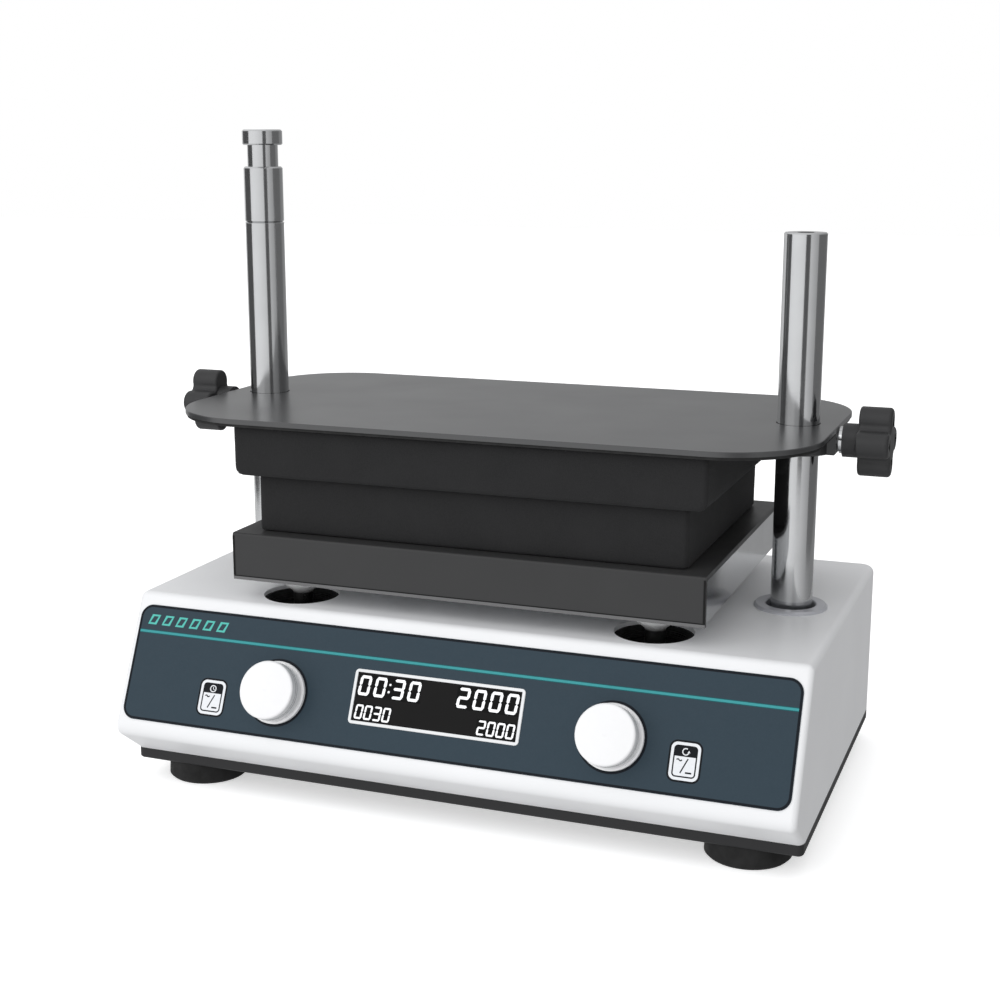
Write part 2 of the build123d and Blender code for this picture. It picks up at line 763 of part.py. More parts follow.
def standoffs():
    """Polished pillars from the drive plate to the tray, each with a bowl-shaped head under the tray."""
    head_z = platform_plate_z
    waist_z = casing_top_z + 1.0
    profile = make_face(
        Polyline(
            (standoff_head_radius, head_z), (0, head_z), (0, drive_plate_top_z),
            (2 * standoff_stem_radius, drive_plate_top_z),
            (2 * standoff_stem_radius, drive_plate_top_z + standoff_flange_height),
            (standoff_stem_radius, drive_plate_top_z + standoff_flange_height),
            (standoff_stem_radius, waist_z),
        )
        + Spline(
            [(standoff_stem_radius, waist_z), (standoff_head_radius - 4.2, waist_z + 4.6),
             (standoff_head_radius, head_z)],
            tangents=[(0.35, 1), (0.12, 1)],
        )
    )
    pillar = revolve(Plane.XZ * profile, Axis.Z, 360)
    pillar += upright(standoff_pillar_radius, head_z, tray_inside_top_z)
    pillar -= upright(
        platform_screw_radius + seat_gap, drive_plate_top_z - 1, drive_plate_top_z + platform_screw_length
    )
    pillar -= upright(
        platform_screw_radius + seat_gap, tray_inside_top_z - platform_screw_length, tray_inside_top_z + 1
    )
    return group(Pos(x, y, 0) * pillar for x, y in standoff_places)


def platform_screws():
    """Countersunk screws: four up through the drive plate and four down through the tray's top."""
    def screw(low_seat, up):
        length = platform_screw_length - 1.0
        stem = turned([
            (0, 0), (platform_screw_head, 0),
            (platform_screw_radius, platform_screw_head - platform_screw_radius),
            (platform_screw_radius, length), (0, length),
        ])
        socket = extrude(RegularPolygon(2.3, 6), 1.6)
        return Pos(0, 0, low_seat) * ((stem - socket) if up else Rot(180, 0, 0) * (stem - socket))

    pair = [screw(drive_plate_z, True), screw(tray_top_z, False)]
    return group(Pos(x, y, 0) * one for x, y in standoff_places for one in pair)


def countersink(z, up):
    """The cut that a platform screw's head fits, at the face where its head lies."""
    cone = turned([
        (0, 0), (platform_screw_head + seat_gap, 0),
        (platform_screw_radius + seat_gap, platform_screw_head - platform_screw_radius),
        (platform_screw_radius + seat_gap, 20), (0, 20),
    ])
    return Pos(0, 0, z) * (cone if up else Rot(180, 0, 0) * cone)


def platform_plate():
    """Stiff plate inside the tray, standing on the heads of the standoffs."""
    plate = block(
        (-tray_half_x + tray_end_inset + tray_end_sheet, tray_half_x - tray_end_inset - tray_end_sheet),
        (tray_front_y + tray_sheet, tray_rear_y - tray_sheet),
        (platform_plate_z, platform_plate_z + platform_plate_thickness),
    )
    for x, y in standoff_places:
        plate -= upright(
            standoff_pillar_radius + seat_gap, platform_plate_z - 1,
            platform_plate_z + platform_plate_thickness + 1, x, y,
        )
    return plate


def tray_cover():
    """Folded sheet: a flat top with a front and a rear skirt, open at both ends."""
    cover = block((-tray_half_x, tray_half_x), (tray_front_y, tray_rear_y), (tray_bottom_z, tray_top_z))
    folds = edges_along(cover, Axis.X).group_by(Axis.Z)[-1]
    cover = fillet(folds, 1.4)
    cover -= block(
        (-tray_half_x - 1, tray_half_x + 1), (tray_front_y + tray_sheet, tray_rear_y - tray_sheet),
        (tray_bottom_z - 1, tray_inside_top_z),
    )
    for x, y in standoff_places:
        cover -= Pos(x, y, 0) * countersink(tray_top_z, up=False)
    for side in (-1, 1):
        cover -= upright(
            dowel_radius + seat_gap, tray_inside_top_z - 1, tray_top_z + 1, side * dowel_x, rack_centre_y
        )
    return cover


def tray_end(side):
    """Polished plate that closes one end of the tray, set back from the folded sheet's edges."""
    outer = side * (tray_half_x - tray_end_inset)
    inner = side * (tray_half_x - tray_end_inset - tray_end_sheet)
    return block(
        sorted((outer, inner)), (tray_front_y + tray_sheet, tray_rear_y - tray_sheet),
        (tray_bottom_z, tray_inside_top_z),
    )


def tube_rack():
    """Foam block on the tray with blind round sockets for tubes."""
    rack = block((-rack_half_x, rack_half_x), (rack_front_y, rack_rear_y), (tray_top_z, rack_top_z))
    rack = fillet(edges_along(rack, Axis.Z), 3.0)
    for x, y in tube_places:
        rack -= upright(tube_radius, rack_top_z - tube_depth, rack_top_z + 1, x, y)
    for side in (-1, 1):
        rack -= upright(
            dowel_radius + seat_gap, tray_top_z - 1, tray_top_z + dowel_height,
            side * dowel_x, rack_centre_y
        )
    return rack


dowel_height = 10.0


def rack_dowels():
    dowels = []
    for side in (-1, 1):
        dowel = upright(dowel_radius, tray_inside_top_z, tray_top_z + dowel_height - 0.5)
        dowel = chamfer(outline_edges(dowel, Axis.Z), 0.8)
        dowels.append(Pos(side * dowel_x, rack_centre_y, 0) * dowel)
    return group(dowels)


# ---- posts --------------------------------------------------------------------------------------------
def post_collars():
    """Raised rings round the holes where the posts enter the casing."""
    collar = turned([
        (collar_hole_radius, casing_top_z - casing_wall), (collar_neck_radius, casing_top_z - casing_wall),
        (collar_neck_radius, casing_top_z), (collar_outer_radius, casing_top_z),
        (collar_outer_radius, casing_top_z + collar_height - 1.0),
        (collar_outer_radius - 1.0, casing_top_z + collar_height),
        (collar_hole_radius + 0.6, casing_top_z + collar_height),
        (collar_hole_radius, casing_top_z + collar_height - 0.6),
    ])
    return group(Pos(side * post_x, drive_y, 0) * collar for side in (-1, 1))


def post(side):
    """A polished post with a threaded foot in the drive plate and a threaded socket in its top."""
    shape = upright(post_radius, drive_plate_top_z, post_top_z)
    shape = chamfer(outline_edges(shape, Axis.Z), 0.7)
    shape += upright(post_foot_radius, drive_plate_z - post_nut_height - 1.5, drive_plate_top_z)
    shape -= upright(socket_radius, post_top_z - socket_depth, post_top_z + 1)
    return Pos(side * post_x, 0, 0) * shape


def post_nuts():
    nut = extrude(RegularPolygon(post_nut_across_flats / 2, 6, major_radius=False), post_nut_height)
    nut = Pos(0, 0, drive_plate_z - post_nut_height) * nut
    nut -= upright(post_foot_radius + seat_gap, 0, drive_plate_top_z)
    return group(Pos(side * post_x, 0, 0) * nut for side in (-1, 1))


def post_extension():
    """Screw-in end of the left post: a shank, a narrow neck and a head."""
    shape = turned([
        (0, post_top_z - socket_depth + 1.5), (socket_radius - seat_gap, post_top_z - socket_depth + 1.5),
        (socket_radius - seat_gap, post_top_z), (post_radius - 0.7, post_top_z),
        (post_radius, post_top_z + 0.7), (post_radius, extension_shoulder_z - 1.0),
        (post_radius - 1.0, extension_shoulder_z), (extension_neck_radius, extension_shoulder_z),
        (extension_neck_radius, extension_neck_top_z), (extension_head_radius - 0.8, extension_neck_top_z),
        (extension_head_radius, extension_neck_top_z + 0.8), (extension_head_radius, extension_top_z - 1.0),
        (extension_head_radius - 1.0, extension_top_z), (0, extension_top_z),
    ])
    return Pos(-post_x, 0, 0) * shape


# ---- clamp plate --------------------------------------------------------------------------------------
def plate_blank(inset, low, high):
    width = 2 * (plate_half_x - inset)
    depth = plate_rear_y - plate_front_y - 2 * inset
    blank = extrude(RectangleRounded(width, depth, plate_corner_radius - inset), high - low)
    return Pos(0, (plate_front_y + plate_rear_y) / 2, low) * blank


def clamp_plate():
    plate = plate_blank(0, plate_z, plate_top_z)
    plate = chamfer(outline_edges(plate, Axis.Z), 0.4)
    for side in (-1, 1):
        plate -= upright(post_radius + 0.5, plate_z - 1, plate_top_z + 1, side * post_x, 0)
    return plate


def damping_sheet():
    sheet = plate_blank(damping_inset, damping_z, plate_z)
    for side in (-1, 1):
        sheet -= upright(boss_radius + damping_clearance, damping_z - 1, plate_z + 1, side * post_x, 0)
        sheet -= block(
            sorted((side * post_x, side * (boss_end_x + 1))),
            (-boss_nub_width / 2 - damping_clearance, boss_nub_width / 2 + damping_clearance),
            (damping_z - 1, plate_z + 1),
        )
    return sheet


def clamp_pad():
    """Foam pad under the plate, which holds the tubes down in the rack."""
    pad = block((-pad_half_x, pad_half_x), (pad_front_y, pad_rear_y), (pad_bottom_z, damping_z))
    pad = fillet(edges_along(pad, Axis.Y).group_by(Axis.Z)[0], pad_edge_radius)
    return fillet(edges_along(pad, Axis.Z), 2.0)


def clamp_boss(side):
    """Guide on one post, with the threaded nub that the clamp screw runs through."""
    boss = upright(boss_radius, boss_z, plate_z)
    boss += block((0, boss_end_x - post_x), (-boss_nub_width / 2, boss_nub_width / 2), (boss_z, plate_z))
    boss = chamfer(outline_edges(boss, Axis.Z, high=False), 0.8)
    boss -= upright(post_radius + running_gap, boss_z - 1, plate_z + 1)
    boss -= along_x(clamp_screw_radius + running_gap, post_radius / 2, boss_end_x, 0, clamp_screw_z)
    return mirrored(Pos(post_x, 0, 0) * boss, side)


def mirrored(shape, side):
    return shape if side > 0 else mirror(shape, Plane.YZ)


def clamp_tip(side):
    """Brass button that the screw presses on the post."""
    tip_radius = clamp_screw_radius - clamp_tip_reduction
    tip = along_x(tip_radius, tip_x, tip_x + clamp_tip_length, 0, clamp_screw_z)
    return mirrored(chamfer(tip.edges(), 0.4), side)


def clamp_screw(side):
    """Stud of one star knob, with the washer-like collar that shows beside the plate."""
    start = tip_x + clamp_tip_length
    hub_x = boss_end_x + star_hub_start
    end = hub_x + star_hub_length + star_stud_grip
    screw = along_x(clamp_screw_radius, start, end, 0, clamp_screw_z)
    screw += along_x(
        clamp_screw_radius + clamp_collar_width, hub_x - clamp_collar_length, hub_x, 0, clamp_screw_z
    )
    return mirrored(screw, side)


def star_knob(side):
    """Four-lobed knob on one clamp screw, with a shallow three-sided recess in each lobe."""
    outline = Circle(star_core_radius)
    for i in range(star_lobes):
        angle = radians(360 / star_lobes * i)
        lobe = Pos(star_lobe_centre * cos(angle), star_lobe_centre * sin(angle))
        outline += lobe * Circle(star_lobe_radius)
    notches = outline.vertices()
    outline = fillet(notches, 3.0)
    head = extrude(outline, star_head_length)
    head = fillet(outline_edges(head, Axis.Z), 2.2)
    head = fillet(outline_edges(head, Axis.Z, high=False), 1.6)
    for i in range(star_lobes):
        angle = 360 / star_lobes * i
        recess = Rot(0, 0, angle) * Pos(star_lobe_centre - 0.8, 0, star_head_length - 1.2) * extrude(
            RegularPolygon(4.6, 3), 2
        )
        head -= recess
    hub = Pos(0, 0, -star_hub_length / 2) * Cylinder(clamp_screw_radius + star_hub_wall, star_hub_length)
    knob = head + hub
    knob -= Pos(0, 0, -star_hub_length) * extrude(
        Circle(clamp_screw_radius + seat_gap), star_hub_length + star_stud_grip + seat_gap
    )
    start = boss_end_x + star_hub_start + star_hub_length
    return mirrored(Pos(start, 0, clamp_screw_z) * (Rot(0, 90, 0) * knob), side)


# ---- power unit and rear fittings ---------------------------------------------------------------------
inlet_body = (27.0, 20.0)
inlet_flange_size = (50.0, 25.0)
inlet_cavity = (22.4, 15.6)
inlet_cavity_depth = 17.0
inlet_depth = 25.0
inlet_pin_height = 4.0
inlet_pin_length = 11.0
inlet_pin_thickness = 2.0
inlet_pin_spread = 7.0
switch_body = (13.2, 19.0)
switch_flange_size = (15.4, 21.2)
switch_depth = 20.0
rocker_width = 9.6
rocker_half_length = 6.4
rocker_window = (10.2, 15.0)
rocker_pin_radius = 1.2
rocker_pin_reach = 1.0        # of each pivot pin into the housing's side wall
rocker_axis = -1.5            # hinge line of the rocker, from the rear wall's outer face


def power_box(corner, size):
    """A closed box that stands on the base plate, with two threaded holes below."""
    x, y = corner
    box = block((x, x + size[0]), (y, y + size[1]), (base_top_z, base_top_z + size[2]))
    box = fillet(edges_along(box, Axis.Z), 2.0)
    for screw_x, screw_y in box_screws(corner, size):
        box -= upright(
            screw_radius + seat_gap, base_top_z - 1, base_top_z + screw_reach + 1, screw_x, screw_y
        )
    return box


def power_supply():
    return power_box(supply_corner, supply_size)


def motor_driver():
    """Motor driver with cooling fins along its top."""
    box = power_box(driver_corner, driver_size)
    top = base_top_z + driver_size[2]
    fins = 9
    pitch = driver_size[1] / (fins + 1)
    for i in range(fins):
        y = driver_corner[1] + (i + 1) * pitch
        box -= block(
            (driver_corner[0] - 1, driver_corner[0] + driver_size[0] + 1), (y - pitch / 4, y + pitch / 4),
            (top - 9, top + 1),
        )
    return box


def rear_extrude(sketch, start, end):
    """Extrude a sketch drawn in X and Z along Y, between two distances outside the rear wall."""
    face = Plane((0, rear_y + start, 0), x_dir=(1, 0, 0), z_dir=(0, -1, 0)) * sketch
    return extrude(face, start - end)


def power_inlet():
    """Three-pin mains inlet with a flange outside the wall and a cavity for the plug."""
    flange = rear_extrude(RectangleRounded(*inlet_flange_size, 3.0), 0, fitting_flange)
    flange = chamfer(outline_edges(flange, Axis.Y), 0.6)
    body = flange + rear_extrude(Rectangle(*inlet_body), -inlet_depth, 0)
    cavity = rear_extrude(
        chamfer(Rectangle(*inlet_cavity).vertices().sort_by(Axis.Y)[-2:], 4.0),
        fitting_flange - inlet_cavity_depth, fitting_flange + 1,
    )
    body -= cavity
    return Pos(inlet_x, 0, fitting_z) * body


def inlet_pins():
    """Three blades that stand in the inlet's cavity, the earth blade above the other two."""
    low = rear_y + fitting_flange - inlet_cavity_depth
    blade = block(
        (-inlet_pin_thickness / 2, inlet_pin_thickness / 2), (low, low + inlet_pin_length),
        (-inlet_pin_height / 2, inlet_pin_height / 2),
    )
    places = [(-inlet_pin_spread, -2.0), (inlet_pin_spread, -2.0), (0.0, 2.0)]
    return group(Pos(inlet_x + x, 0, fitting_z + z) * blade for x, z in places)


def switch_housing():
    flange = rear_extrude(RectangleRounded(*switch_flange_size, 1.2), 0, fitting_flange)
    flange = chamfer(outline_edges(flange, Axis.Y), 0.5)
    housing = flange + rear_extrude(Rectangle(*switch_body), -switch_depth, 0)
    housing -= rear_extrude(Rectangle(*rocker_window), rocker_axis - 8.5, fitting_flange + 1)
    reach = rocker_window[0] / 2 + rocker_pin_reach + 0.1
    housing -= along_x(rocker_pin_radius + running_gap, -reach, reach, rear_y + rocker_axis, 0)
    return Pos(switch_x, 0, fitting_z) * housing


def switch_rocker():
    """Rocker with a shallow V face, tilted to the on position with its upper half pressed in."""
    half = rocker_half_length
    profile = make_face(Polyline(
        (4.6, -half), (3.3, 0), (4.6, half), (-1.5, half - 0.6), (-5.0, 1.5), (-5.0, -1.5),
        (-1.5, 0.6 - half),
        close=True,
    ))
    rocker = extrude(Plane.YZ * profile, rocker_width / 2, both=True)
    reach = rocker_window[0] / 2 + rocker_pin_reach
    rocker += along_x(rocker_pin_radius, -reach, reach, 0, 0)
    rocker = Rot(rocker_tilt, 0, 0) * rocker
    return Pos(switch_x, rear_y + rocker_axis, fitting_z) * rocker


# ---- the whole machine --------------------------------------------------------------------------------
def main():
    save("casing", casing())
    save("base_plate", base_plate())
    save("rubber_feet", group(rubber_foot(x, y) for x, y in foot_places))
    save("foot_screws", foot_screws())
    save("chassis_screws", chassis_screws())

    save("panel_overlay", panel_overlay())
    save("display_bezel", display_bezel())
    save("display_window", display_window())
    save("display_module", display_module())
    save("control_board", control_board())
    save("board_pillars", board_pillars())
    save("knob_rings", group(knob_ring(side) for side in (-1, 1)))
    save("encoders", group(encoder(side) for side in (-1, 1)))
    for name, side in (("time", -1), ("speed", 1)):
        save(f"{name}_plunger", push_plunger(side))
        save(f"{name}_shaft", encoder_shaft(side))
        save(f"{name}_knob", control_knob(side))

    save("drive_motor", drive_motor())
    save("drive_shaft", drive_shaft())
    save("counterweight", counterweight())
    save("idler_pedestals", idler_pedestals())
    for name, place in zip(("left", "right", "rear"), idler_places):
        save(f"idler_crank_{name}", idler_crank(*place))
    save("drive_plate", drive_plate())
    save("crank_bearings", crank_bearings())

    save("shaft_boots", shaft_boots())
    save("standoffs", standoffs())
    save("platform_screws", platform_screws())
    save("platform_plate", platform_plate())
    save("tray_cover", tray_cover())
    save("tube_rack", tube_rack())
    save("rack_dowels", rack_dowels())

    save("post_collars", post_collars())
    save("post_nuts", post_nuts())
    save("post_extension", post_extension())
    save("clamp_plate", clamp_plate())
    save("damping_sheet", damping_sheet())
    save("clamp_pad", clamp_pad())
    for name, side in (("left", -1), ("right", 1)):
        save(f"tray_end_{name}", tray_end(side))
        save(f"post_{name}", post(side))
        save(f"clamp_boss_{name}", clamp_boss(side))
        save(f"clamp_tip_{name}", clamp_tip(side))
        save(f"clamp_screw_{name}", clamp_screw(side))
        save(f"star_knob_{name}", star_knob(side))

    save("power_supply", power_supply())
    save("motor_driver", motor_driver())
    save("power_inlet", power_inlet())
    save("inlet_pins", inlet_pins())
    save("switch_housing", switch_housing())
    save("switch_rocker", switch_rocker())
    print(f"frame shift {frame_y:.4f}, lean {degrees(lean):.4f}, drive axis y {frame_y + drive_y:.4f}")


main()
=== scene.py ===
"""Looks of a multi-tube vortex mixer: finishes for its machined, moulded and sheet metal pieces,
the foam rack and pad, the printed front panel with its display, and a plain studio."""

import json
import math

import bmesh
import bpy
from mathutils import Matrix, Vector, noise


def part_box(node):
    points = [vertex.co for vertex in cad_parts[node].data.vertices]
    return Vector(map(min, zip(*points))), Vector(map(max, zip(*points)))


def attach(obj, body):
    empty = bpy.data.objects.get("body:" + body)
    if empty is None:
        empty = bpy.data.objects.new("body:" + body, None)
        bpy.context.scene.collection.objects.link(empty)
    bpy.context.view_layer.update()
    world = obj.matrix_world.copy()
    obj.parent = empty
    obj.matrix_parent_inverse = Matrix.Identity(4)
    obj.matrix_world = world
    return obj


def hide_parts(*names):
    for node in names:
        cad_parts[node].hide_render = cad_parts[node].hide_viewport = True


bl_info = {
    "name": "Vortex mixer looks",
    "version": (1, 0, 0),
    "blender": (4, 5, 0),
    "location": "3D View > Sidebar > Vortex mixer",
    "description": "Finishes, foam, panel print, display and studio for a multi-tube vortex mixer",
    "category": "Object",
}

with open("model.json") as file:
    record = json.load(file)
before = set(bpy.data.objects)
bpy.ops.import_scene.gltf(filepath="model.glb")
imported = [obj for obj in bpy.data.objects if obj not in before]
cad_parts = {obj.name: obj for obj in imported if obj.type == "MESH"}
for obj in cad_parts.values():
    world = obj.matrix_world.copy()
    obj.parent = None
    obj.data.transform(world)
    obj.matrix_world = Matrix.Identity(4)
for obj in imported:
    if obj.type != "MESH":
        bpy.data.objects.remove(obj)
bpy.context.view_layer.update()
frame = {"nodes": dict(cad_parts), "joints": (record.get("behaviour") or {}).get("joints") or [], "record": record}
NODES = frame["nodes"]
JOINTS = {joint["name"]: joint for joint in frame["joints"]}
MM = 0.001

# ---- the slanted panel's own directions, from the two control knobs' axes ------------------------
PANEL_OUT = Vector(JOINTS["time_turn"]["axis"]).normalized()
PANEL_UP = PANEL_OUT.cross(Vector((1, 0, 0))).normalized()


def reach(node, direction):
    """How far a CAD node goes along a direction, in metres."""
    return max(vertex.co.dot(direction) for vertex in NODES[node].data.vertices)


PANEL_LEVEL = reach("panel_overlay", PANEL_OUT)
PANEL_TOP = reach("panel_overlay", PANEL_UP)
PANEL_FOOT = -reach("panel_overlay", -PANEL_UP)
PANEL_HALF = reach("panel_overlay", Vector((1, 0, 0)))


def panel_point(x, up, lift):
    """A point on the panel: across, up the slant and out from the film's face, in metres."""
    return Vector((x, 0, 0)) + PANEL_UP * up + PANEL_OUT * (PANEL_LEVEL + lift)


# ---- settings that a user would change -----------------------------------------------------------
def colour_setting(name, description, default):
    return bpy.props.FloatVectorProperty(
        name=name, description=description, default=default, subtype="COLOR", size=3, min=0, max=1
    )


def length_setting(name, description, default, low=0.0):
    return bpy.props.FloatProperty(
        name=name, description=description, default=default, min=low, unit="LENGTH", precision=5
    )


class MixerPrintSettings(bpy.types.PropertyGroup):
    film_colour: colour_setting("Film", "Colour of the panel's plastic film", (0.031, 0.051, 0.068))
    border_colour: colour_setting("Border", "Dark line round the film", (0.006, 0.009, 0.014))
    stripe_colour: colour_setting("Stripe", "Line across the film", (0.055, 0.34, 0.36))
    stripe_edge_colour: colour_setting(
        "Stripe edge", "Both edges of the stripe", (0.015, 0.11, 0.12)
    )
    motif_colour: colour_setting("Motif", "Row of bars at the upper left", (0.11, 0.55, 0.48))
    border_width: length_setting("Border width", "Width of the line round the film", 0.0014)
    stripe_height: length_setting("Stripe height", "Height of the stripe", 0.0023)
    stripe_drop: length_setting("Stripe drop", "From the film's top edge to the stripe", 0.0167)
    ink: length_setting("Ink", "Thickness of one printed layer", 0.00004)
    icon_width: length_setting("Label width", "Width of the label beside each knob", 0.0165)
    icon_height: length_setting("Label height", "Height of the label beside each knob", 0.0206)
    icon_drop: length_setting(
        "Label drop", "From the film's top edge to the label's centre", 0.0519
    )
    icon_place: length_setting("Label place", "From the middle of the panel to a label", 0.1465)


class MixerDisplaySettings(bpy.types.PropertyGroup):
    time_text: bpy.props.StringProperty(
        name="Time", description="Digits on the left, a colon allowed", default="00:30"
    )
    speed_text: bpy.props.StringProperty(
        name="Speed", description="Digits on the right", default="2000"
    )
    digit_colour: colour_setting("Digits", "Colour of the lit segments", (0.93, 0.94, 0.95))
    large_height: length_setting("Large digits", "Height of the running values", 0.0119)
    small_height: length_setting("Small digits", "Height of the set values", 0.0086)
    glow: bpy.props.FloatProperty(
        name="Glow", description="Light given off by the segments", default=0.25, min=0, max=5
    )


class MixerFoamSettings(bpy.types.PropertyGroup):
    colour: colour_setting("Foam", "Colour of the rack and the pad", (0.018, 0.018, 0.0185))
    voxel: length_setting("Mesh cell", "Spacing of the foam's mesh", 0.0016, 0.0005)
    bulge: length_setting("Bulge", "How far a cut side stands proud in the middle", 0.0005)
    waviness: length_setting("Waviness", "Unevenness of the cut faces", 0.00016)
    cell: length_setting("Cell", "Size of the foam's cells", 0.0007, 0.0001)


class MixerStageSettings(bpy.types.PropertyGroup):
    floor_colour: colour_setting("Floor", "Colour of the floor", (0.93, 0.93, 0.93))
    key_power: bpy.props.FloatProperty(
        name="Key light", description="Power of the large soft light",
        default=9.0, min=0, unit="POWER",
    )
    room_light: bpy.props.FloatProperty(
        name="Room light", description="Mean strength of the light from all round",
        default=0.76, min=0,
    )
    room_slope: bpy.props.FloatVectorProperty(
        name="Room slope", description="How the room gets brighter along each direction",
        default=(-0.27, -0.34, 0.14), size=3,
    )
    lens: bpy.props.FloatProperty(
        name="Lens", description="Focal length in mm", default=58.44, min=1
    )
    roll: bpy.props.FloatProperty(
        name="Roll", description="Turn of the camera about its view", default=0.0, unit="ROTATION"
    )


# ---- finishes ------------------------------------------------------------------------------------
class Finish:
    """A Principled material with patterns on the piece's own coordinates, in metres."""

    def __init__(self, name, colour, roughness, metallic=0.0, **sockets):
        self.material = bpy.data.materials.new(name)
        self.material.use_nodes = True
        self.tree = self.material.node_tree
        self.shader = self.tree.nodes["Principled BSDF"]
        self.colour = (*colour, 1.0)
        self.roughness = roughness
        self.set(self.shader, "Base Color", self.colour)
        self.set(self.shader, "Roughness", roughness)
        self.set(self.shader, "Metallic", metallic)
        for socket, value in sockets.items():
            self.set(self.shader, socket.replace("_", " "), value)
        self.place = self.add("ShaderNodeTexCoord").outputs["Object"]
        self.height = None

    def add(self, kind, **settings):
        node = self.tree.nodes.new(kind)
        for key, value in settings.items():
            setattr(node, key, value)
        return node

    def set(self, node, socket, value):
        if isinstance(value, bpy.types.NodeSocket):
            self.tree.links.new(value, node.inputs[socket])
        else:
            node.inputs[socket].default_value = value

    def place_stretched(self, stretch):
        mapping = self.add("ShaderNodeMapping")
        self.set(mapping, "Vector", self.place)
        self.set(mapping, "Scale", stretch)
        return mapping.outputs["Vector"]

    def grain(self, size, detail=3.0, stretch=(1, 1, 1)):
        """Cloudy pattern from 0 to 1, with features of about this size."""
        node = self.add("ShaderNodeTexNoise")
        self.set(node, "Vector", self.place_stretched(stretch))
        self.set(node, "Scale", 1 / size)
        self.set(node, "Detail", detail)
        return node.outputs["Fac"]

    def cells(self, size):
        """Distance pattern of closed cells of about this size."""
        node = self.add("ShaderNodeTexVoronoi")
        self.set(node, "Vector", self.place)
        self.set(node, "Scale", 1 / size)
        return node.outputs["Distance"]

    def between(self, pattern, low, high, from_low=0.3, from_high=0.7):
        """The pattern's usual span mapped to a new one."""
        node = self.add("ShaderNodeMapRange")
        for socket, value in (
            ("Value", pattern), ("From Min", from_low), ("From Max", from_high),
            ("To Min", low), ("To Max", high),
        ):
            self.set(node, socket, value)
        return node.outputs["Result"]

    def tint(self, pattern, other, amount=1.0, from_low=0.3, from_high=0.7):
        """Blend the colour towards another one by a pattern."""
        node = self.add("ShaderNodeMix", data_type="RGBA")
        self.tree.links.new(self.between(pattern, 0, amount, from_low, from_high), node.inputs[0])
        links = self.shader.inputs["Base Color"].links
        if links:
            self.tree.links.new(links[0].from_socket, node.inputs[6])
        else:
            node.inputs[6].default_value = self.colour
        node.inputs[7].default_value = (*other, 1.0)
        self.tree.links.new(node.outputs[2], self.shader.inputs["Base Color"])
        return self

    def polish(self, pattern, spread):
        """Vary the roughness by a pattern."""
        self.set(self.shader, "Roughness", self.between(
            pattern, self.roughness - spread, self.roughness + spread
        ))
        return self

    def relief(self, pattern, depth, strength=1.0):
        """Raise the surface by a pattern, in metres."""
        node = self.add("ShaderNodeBump")
        self.set(node, "Height", pattern)
        self.set(node, "Distance", depth)
        self.set(node, "Strength", strength)
        if self.height is not None:
            self.tree.links.new(self.height, node.inputs["Normal"])
        self.height = node.outputs["Normal"]
        self.tree.links.new(self.height, self.shader.inputs["Normal"])
        return self


def painted(name, colour, roughness=0.38, peel=0.00003, **sockets):
    """Powder coat on sheet metal: fine orange peel and faint clouding."""
    coat = Finish(name, colour, roughness, **sockets)
    coat.relief(coat.grain(0.0011, 2.0), peel).relief(coat.grain(0.00025, 1.0), peel * 0.25)
    coat.polish(coat.grain(0.03, 4.0), 0.05)
    lighter = [min(1, channel * 1.03 + 0.002) for channel in colour]
    return coat.tint(coat.grain(0.045, 3.0), lighter, 0.8)


def moulded(name, colour, roughness=0.45, texture=0.00002, **sockets):
    """Moulded plastic: spark-eroded texture and handling sheen."""
    plastic = Finish(name, colour, roughness, **sockets)
    plastic.relief(plastic.grain(0.0005, 3.0), texture)
    plastic.polish(plastic.grain(0.012, 4.0), 0.06)
    return plastic.tint(plastic.grain(0.02), [channel * 0.9 for channel in colour], 0.7)


def machined(name, colour, roughness=0.25, lay=(1, 1, 40), depth=0.000004, **sockets):
    """Bare metal with fine tool marks across one direction."""
    metal = Finish(name, colour, roughness, 1.0, **sockets)
    marks = metal.grain(0.004, 4.0, lay)
    metal.relief(marks, depth).polish(metal.grain(0.01, 5.0, lay), roughness * 0.3)
    return metal.tint(metal.grain(0.02, 3.0), [channel * 0.93 for channel in colour], 0.8)


def rubbery(name, colour, roughness=0.72):
    rubber = Finish(name, colour, roughness, Specular_IOR_Level=0.2)
    rubber.relief(rubber.grain(0.0006, 4.0), 0.00004).relief(rubber.cells(0.004), 0.00003)
    rubber.polish(rubber.grain(0.006, 4.0), 0.1)
    return rubber.tint(rubber.grain(0.009, 5.0), [channel * 1.6 + 0.004 for channel in colour], 0.8)


def foam_finish(settings):
    """Fine closed-cell foam: pitted, matt, with a soft sheen at the edges."""
    colour = tuple(settings.colour)
    foam = Finish("Charcoal foam", colour, 0.93, Sheen_Weight=0.04, Sheen_Roughness=0.6)
    foam.set(foam.shader, "Specular IOR Level", 0.12)
    pits = foam.cells(settings.cell)
    foam.relief(pits, settings.cell * 0.35, 0.6)
    foam.relief(foam.grain(settings.cell * 5, 3.0), settings.cell * 0.2, 0.5)
    foam.tint(pits, [channel * 1.5 for channel in colour], 0.6, 0.1, 0.6)
    return foam.tint(foam.grain(0.018, 4.0), [channel * 1.35 + 0.001 for channel in colour], 0.7)


def bowl_finish():
    """Light satin steel above the casing's top as a painted reflection, going to black on the stem below it as
    painted shade.
    """
    bowls = moulded("Satin steel bowls", (0.9, 0.9, 0.9), 0.3, 0.000003, Specular_IOR_Level=0.9)
    parts = bowls.add("ShaderNodeSeparateXYZ")
    bowls.set(parts, "Vector", bowls.place)
    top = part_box("casing")[1].z
    # painted shade: the colour goes to black from 4.6 mm down to 1.2 mm above the casing's top and stays black
    # below
    return bowls.tint(parts.outputs["Z"], (0.004, 0.004, 0.004), 1.0, top + 0.0046, top + 0.0012)


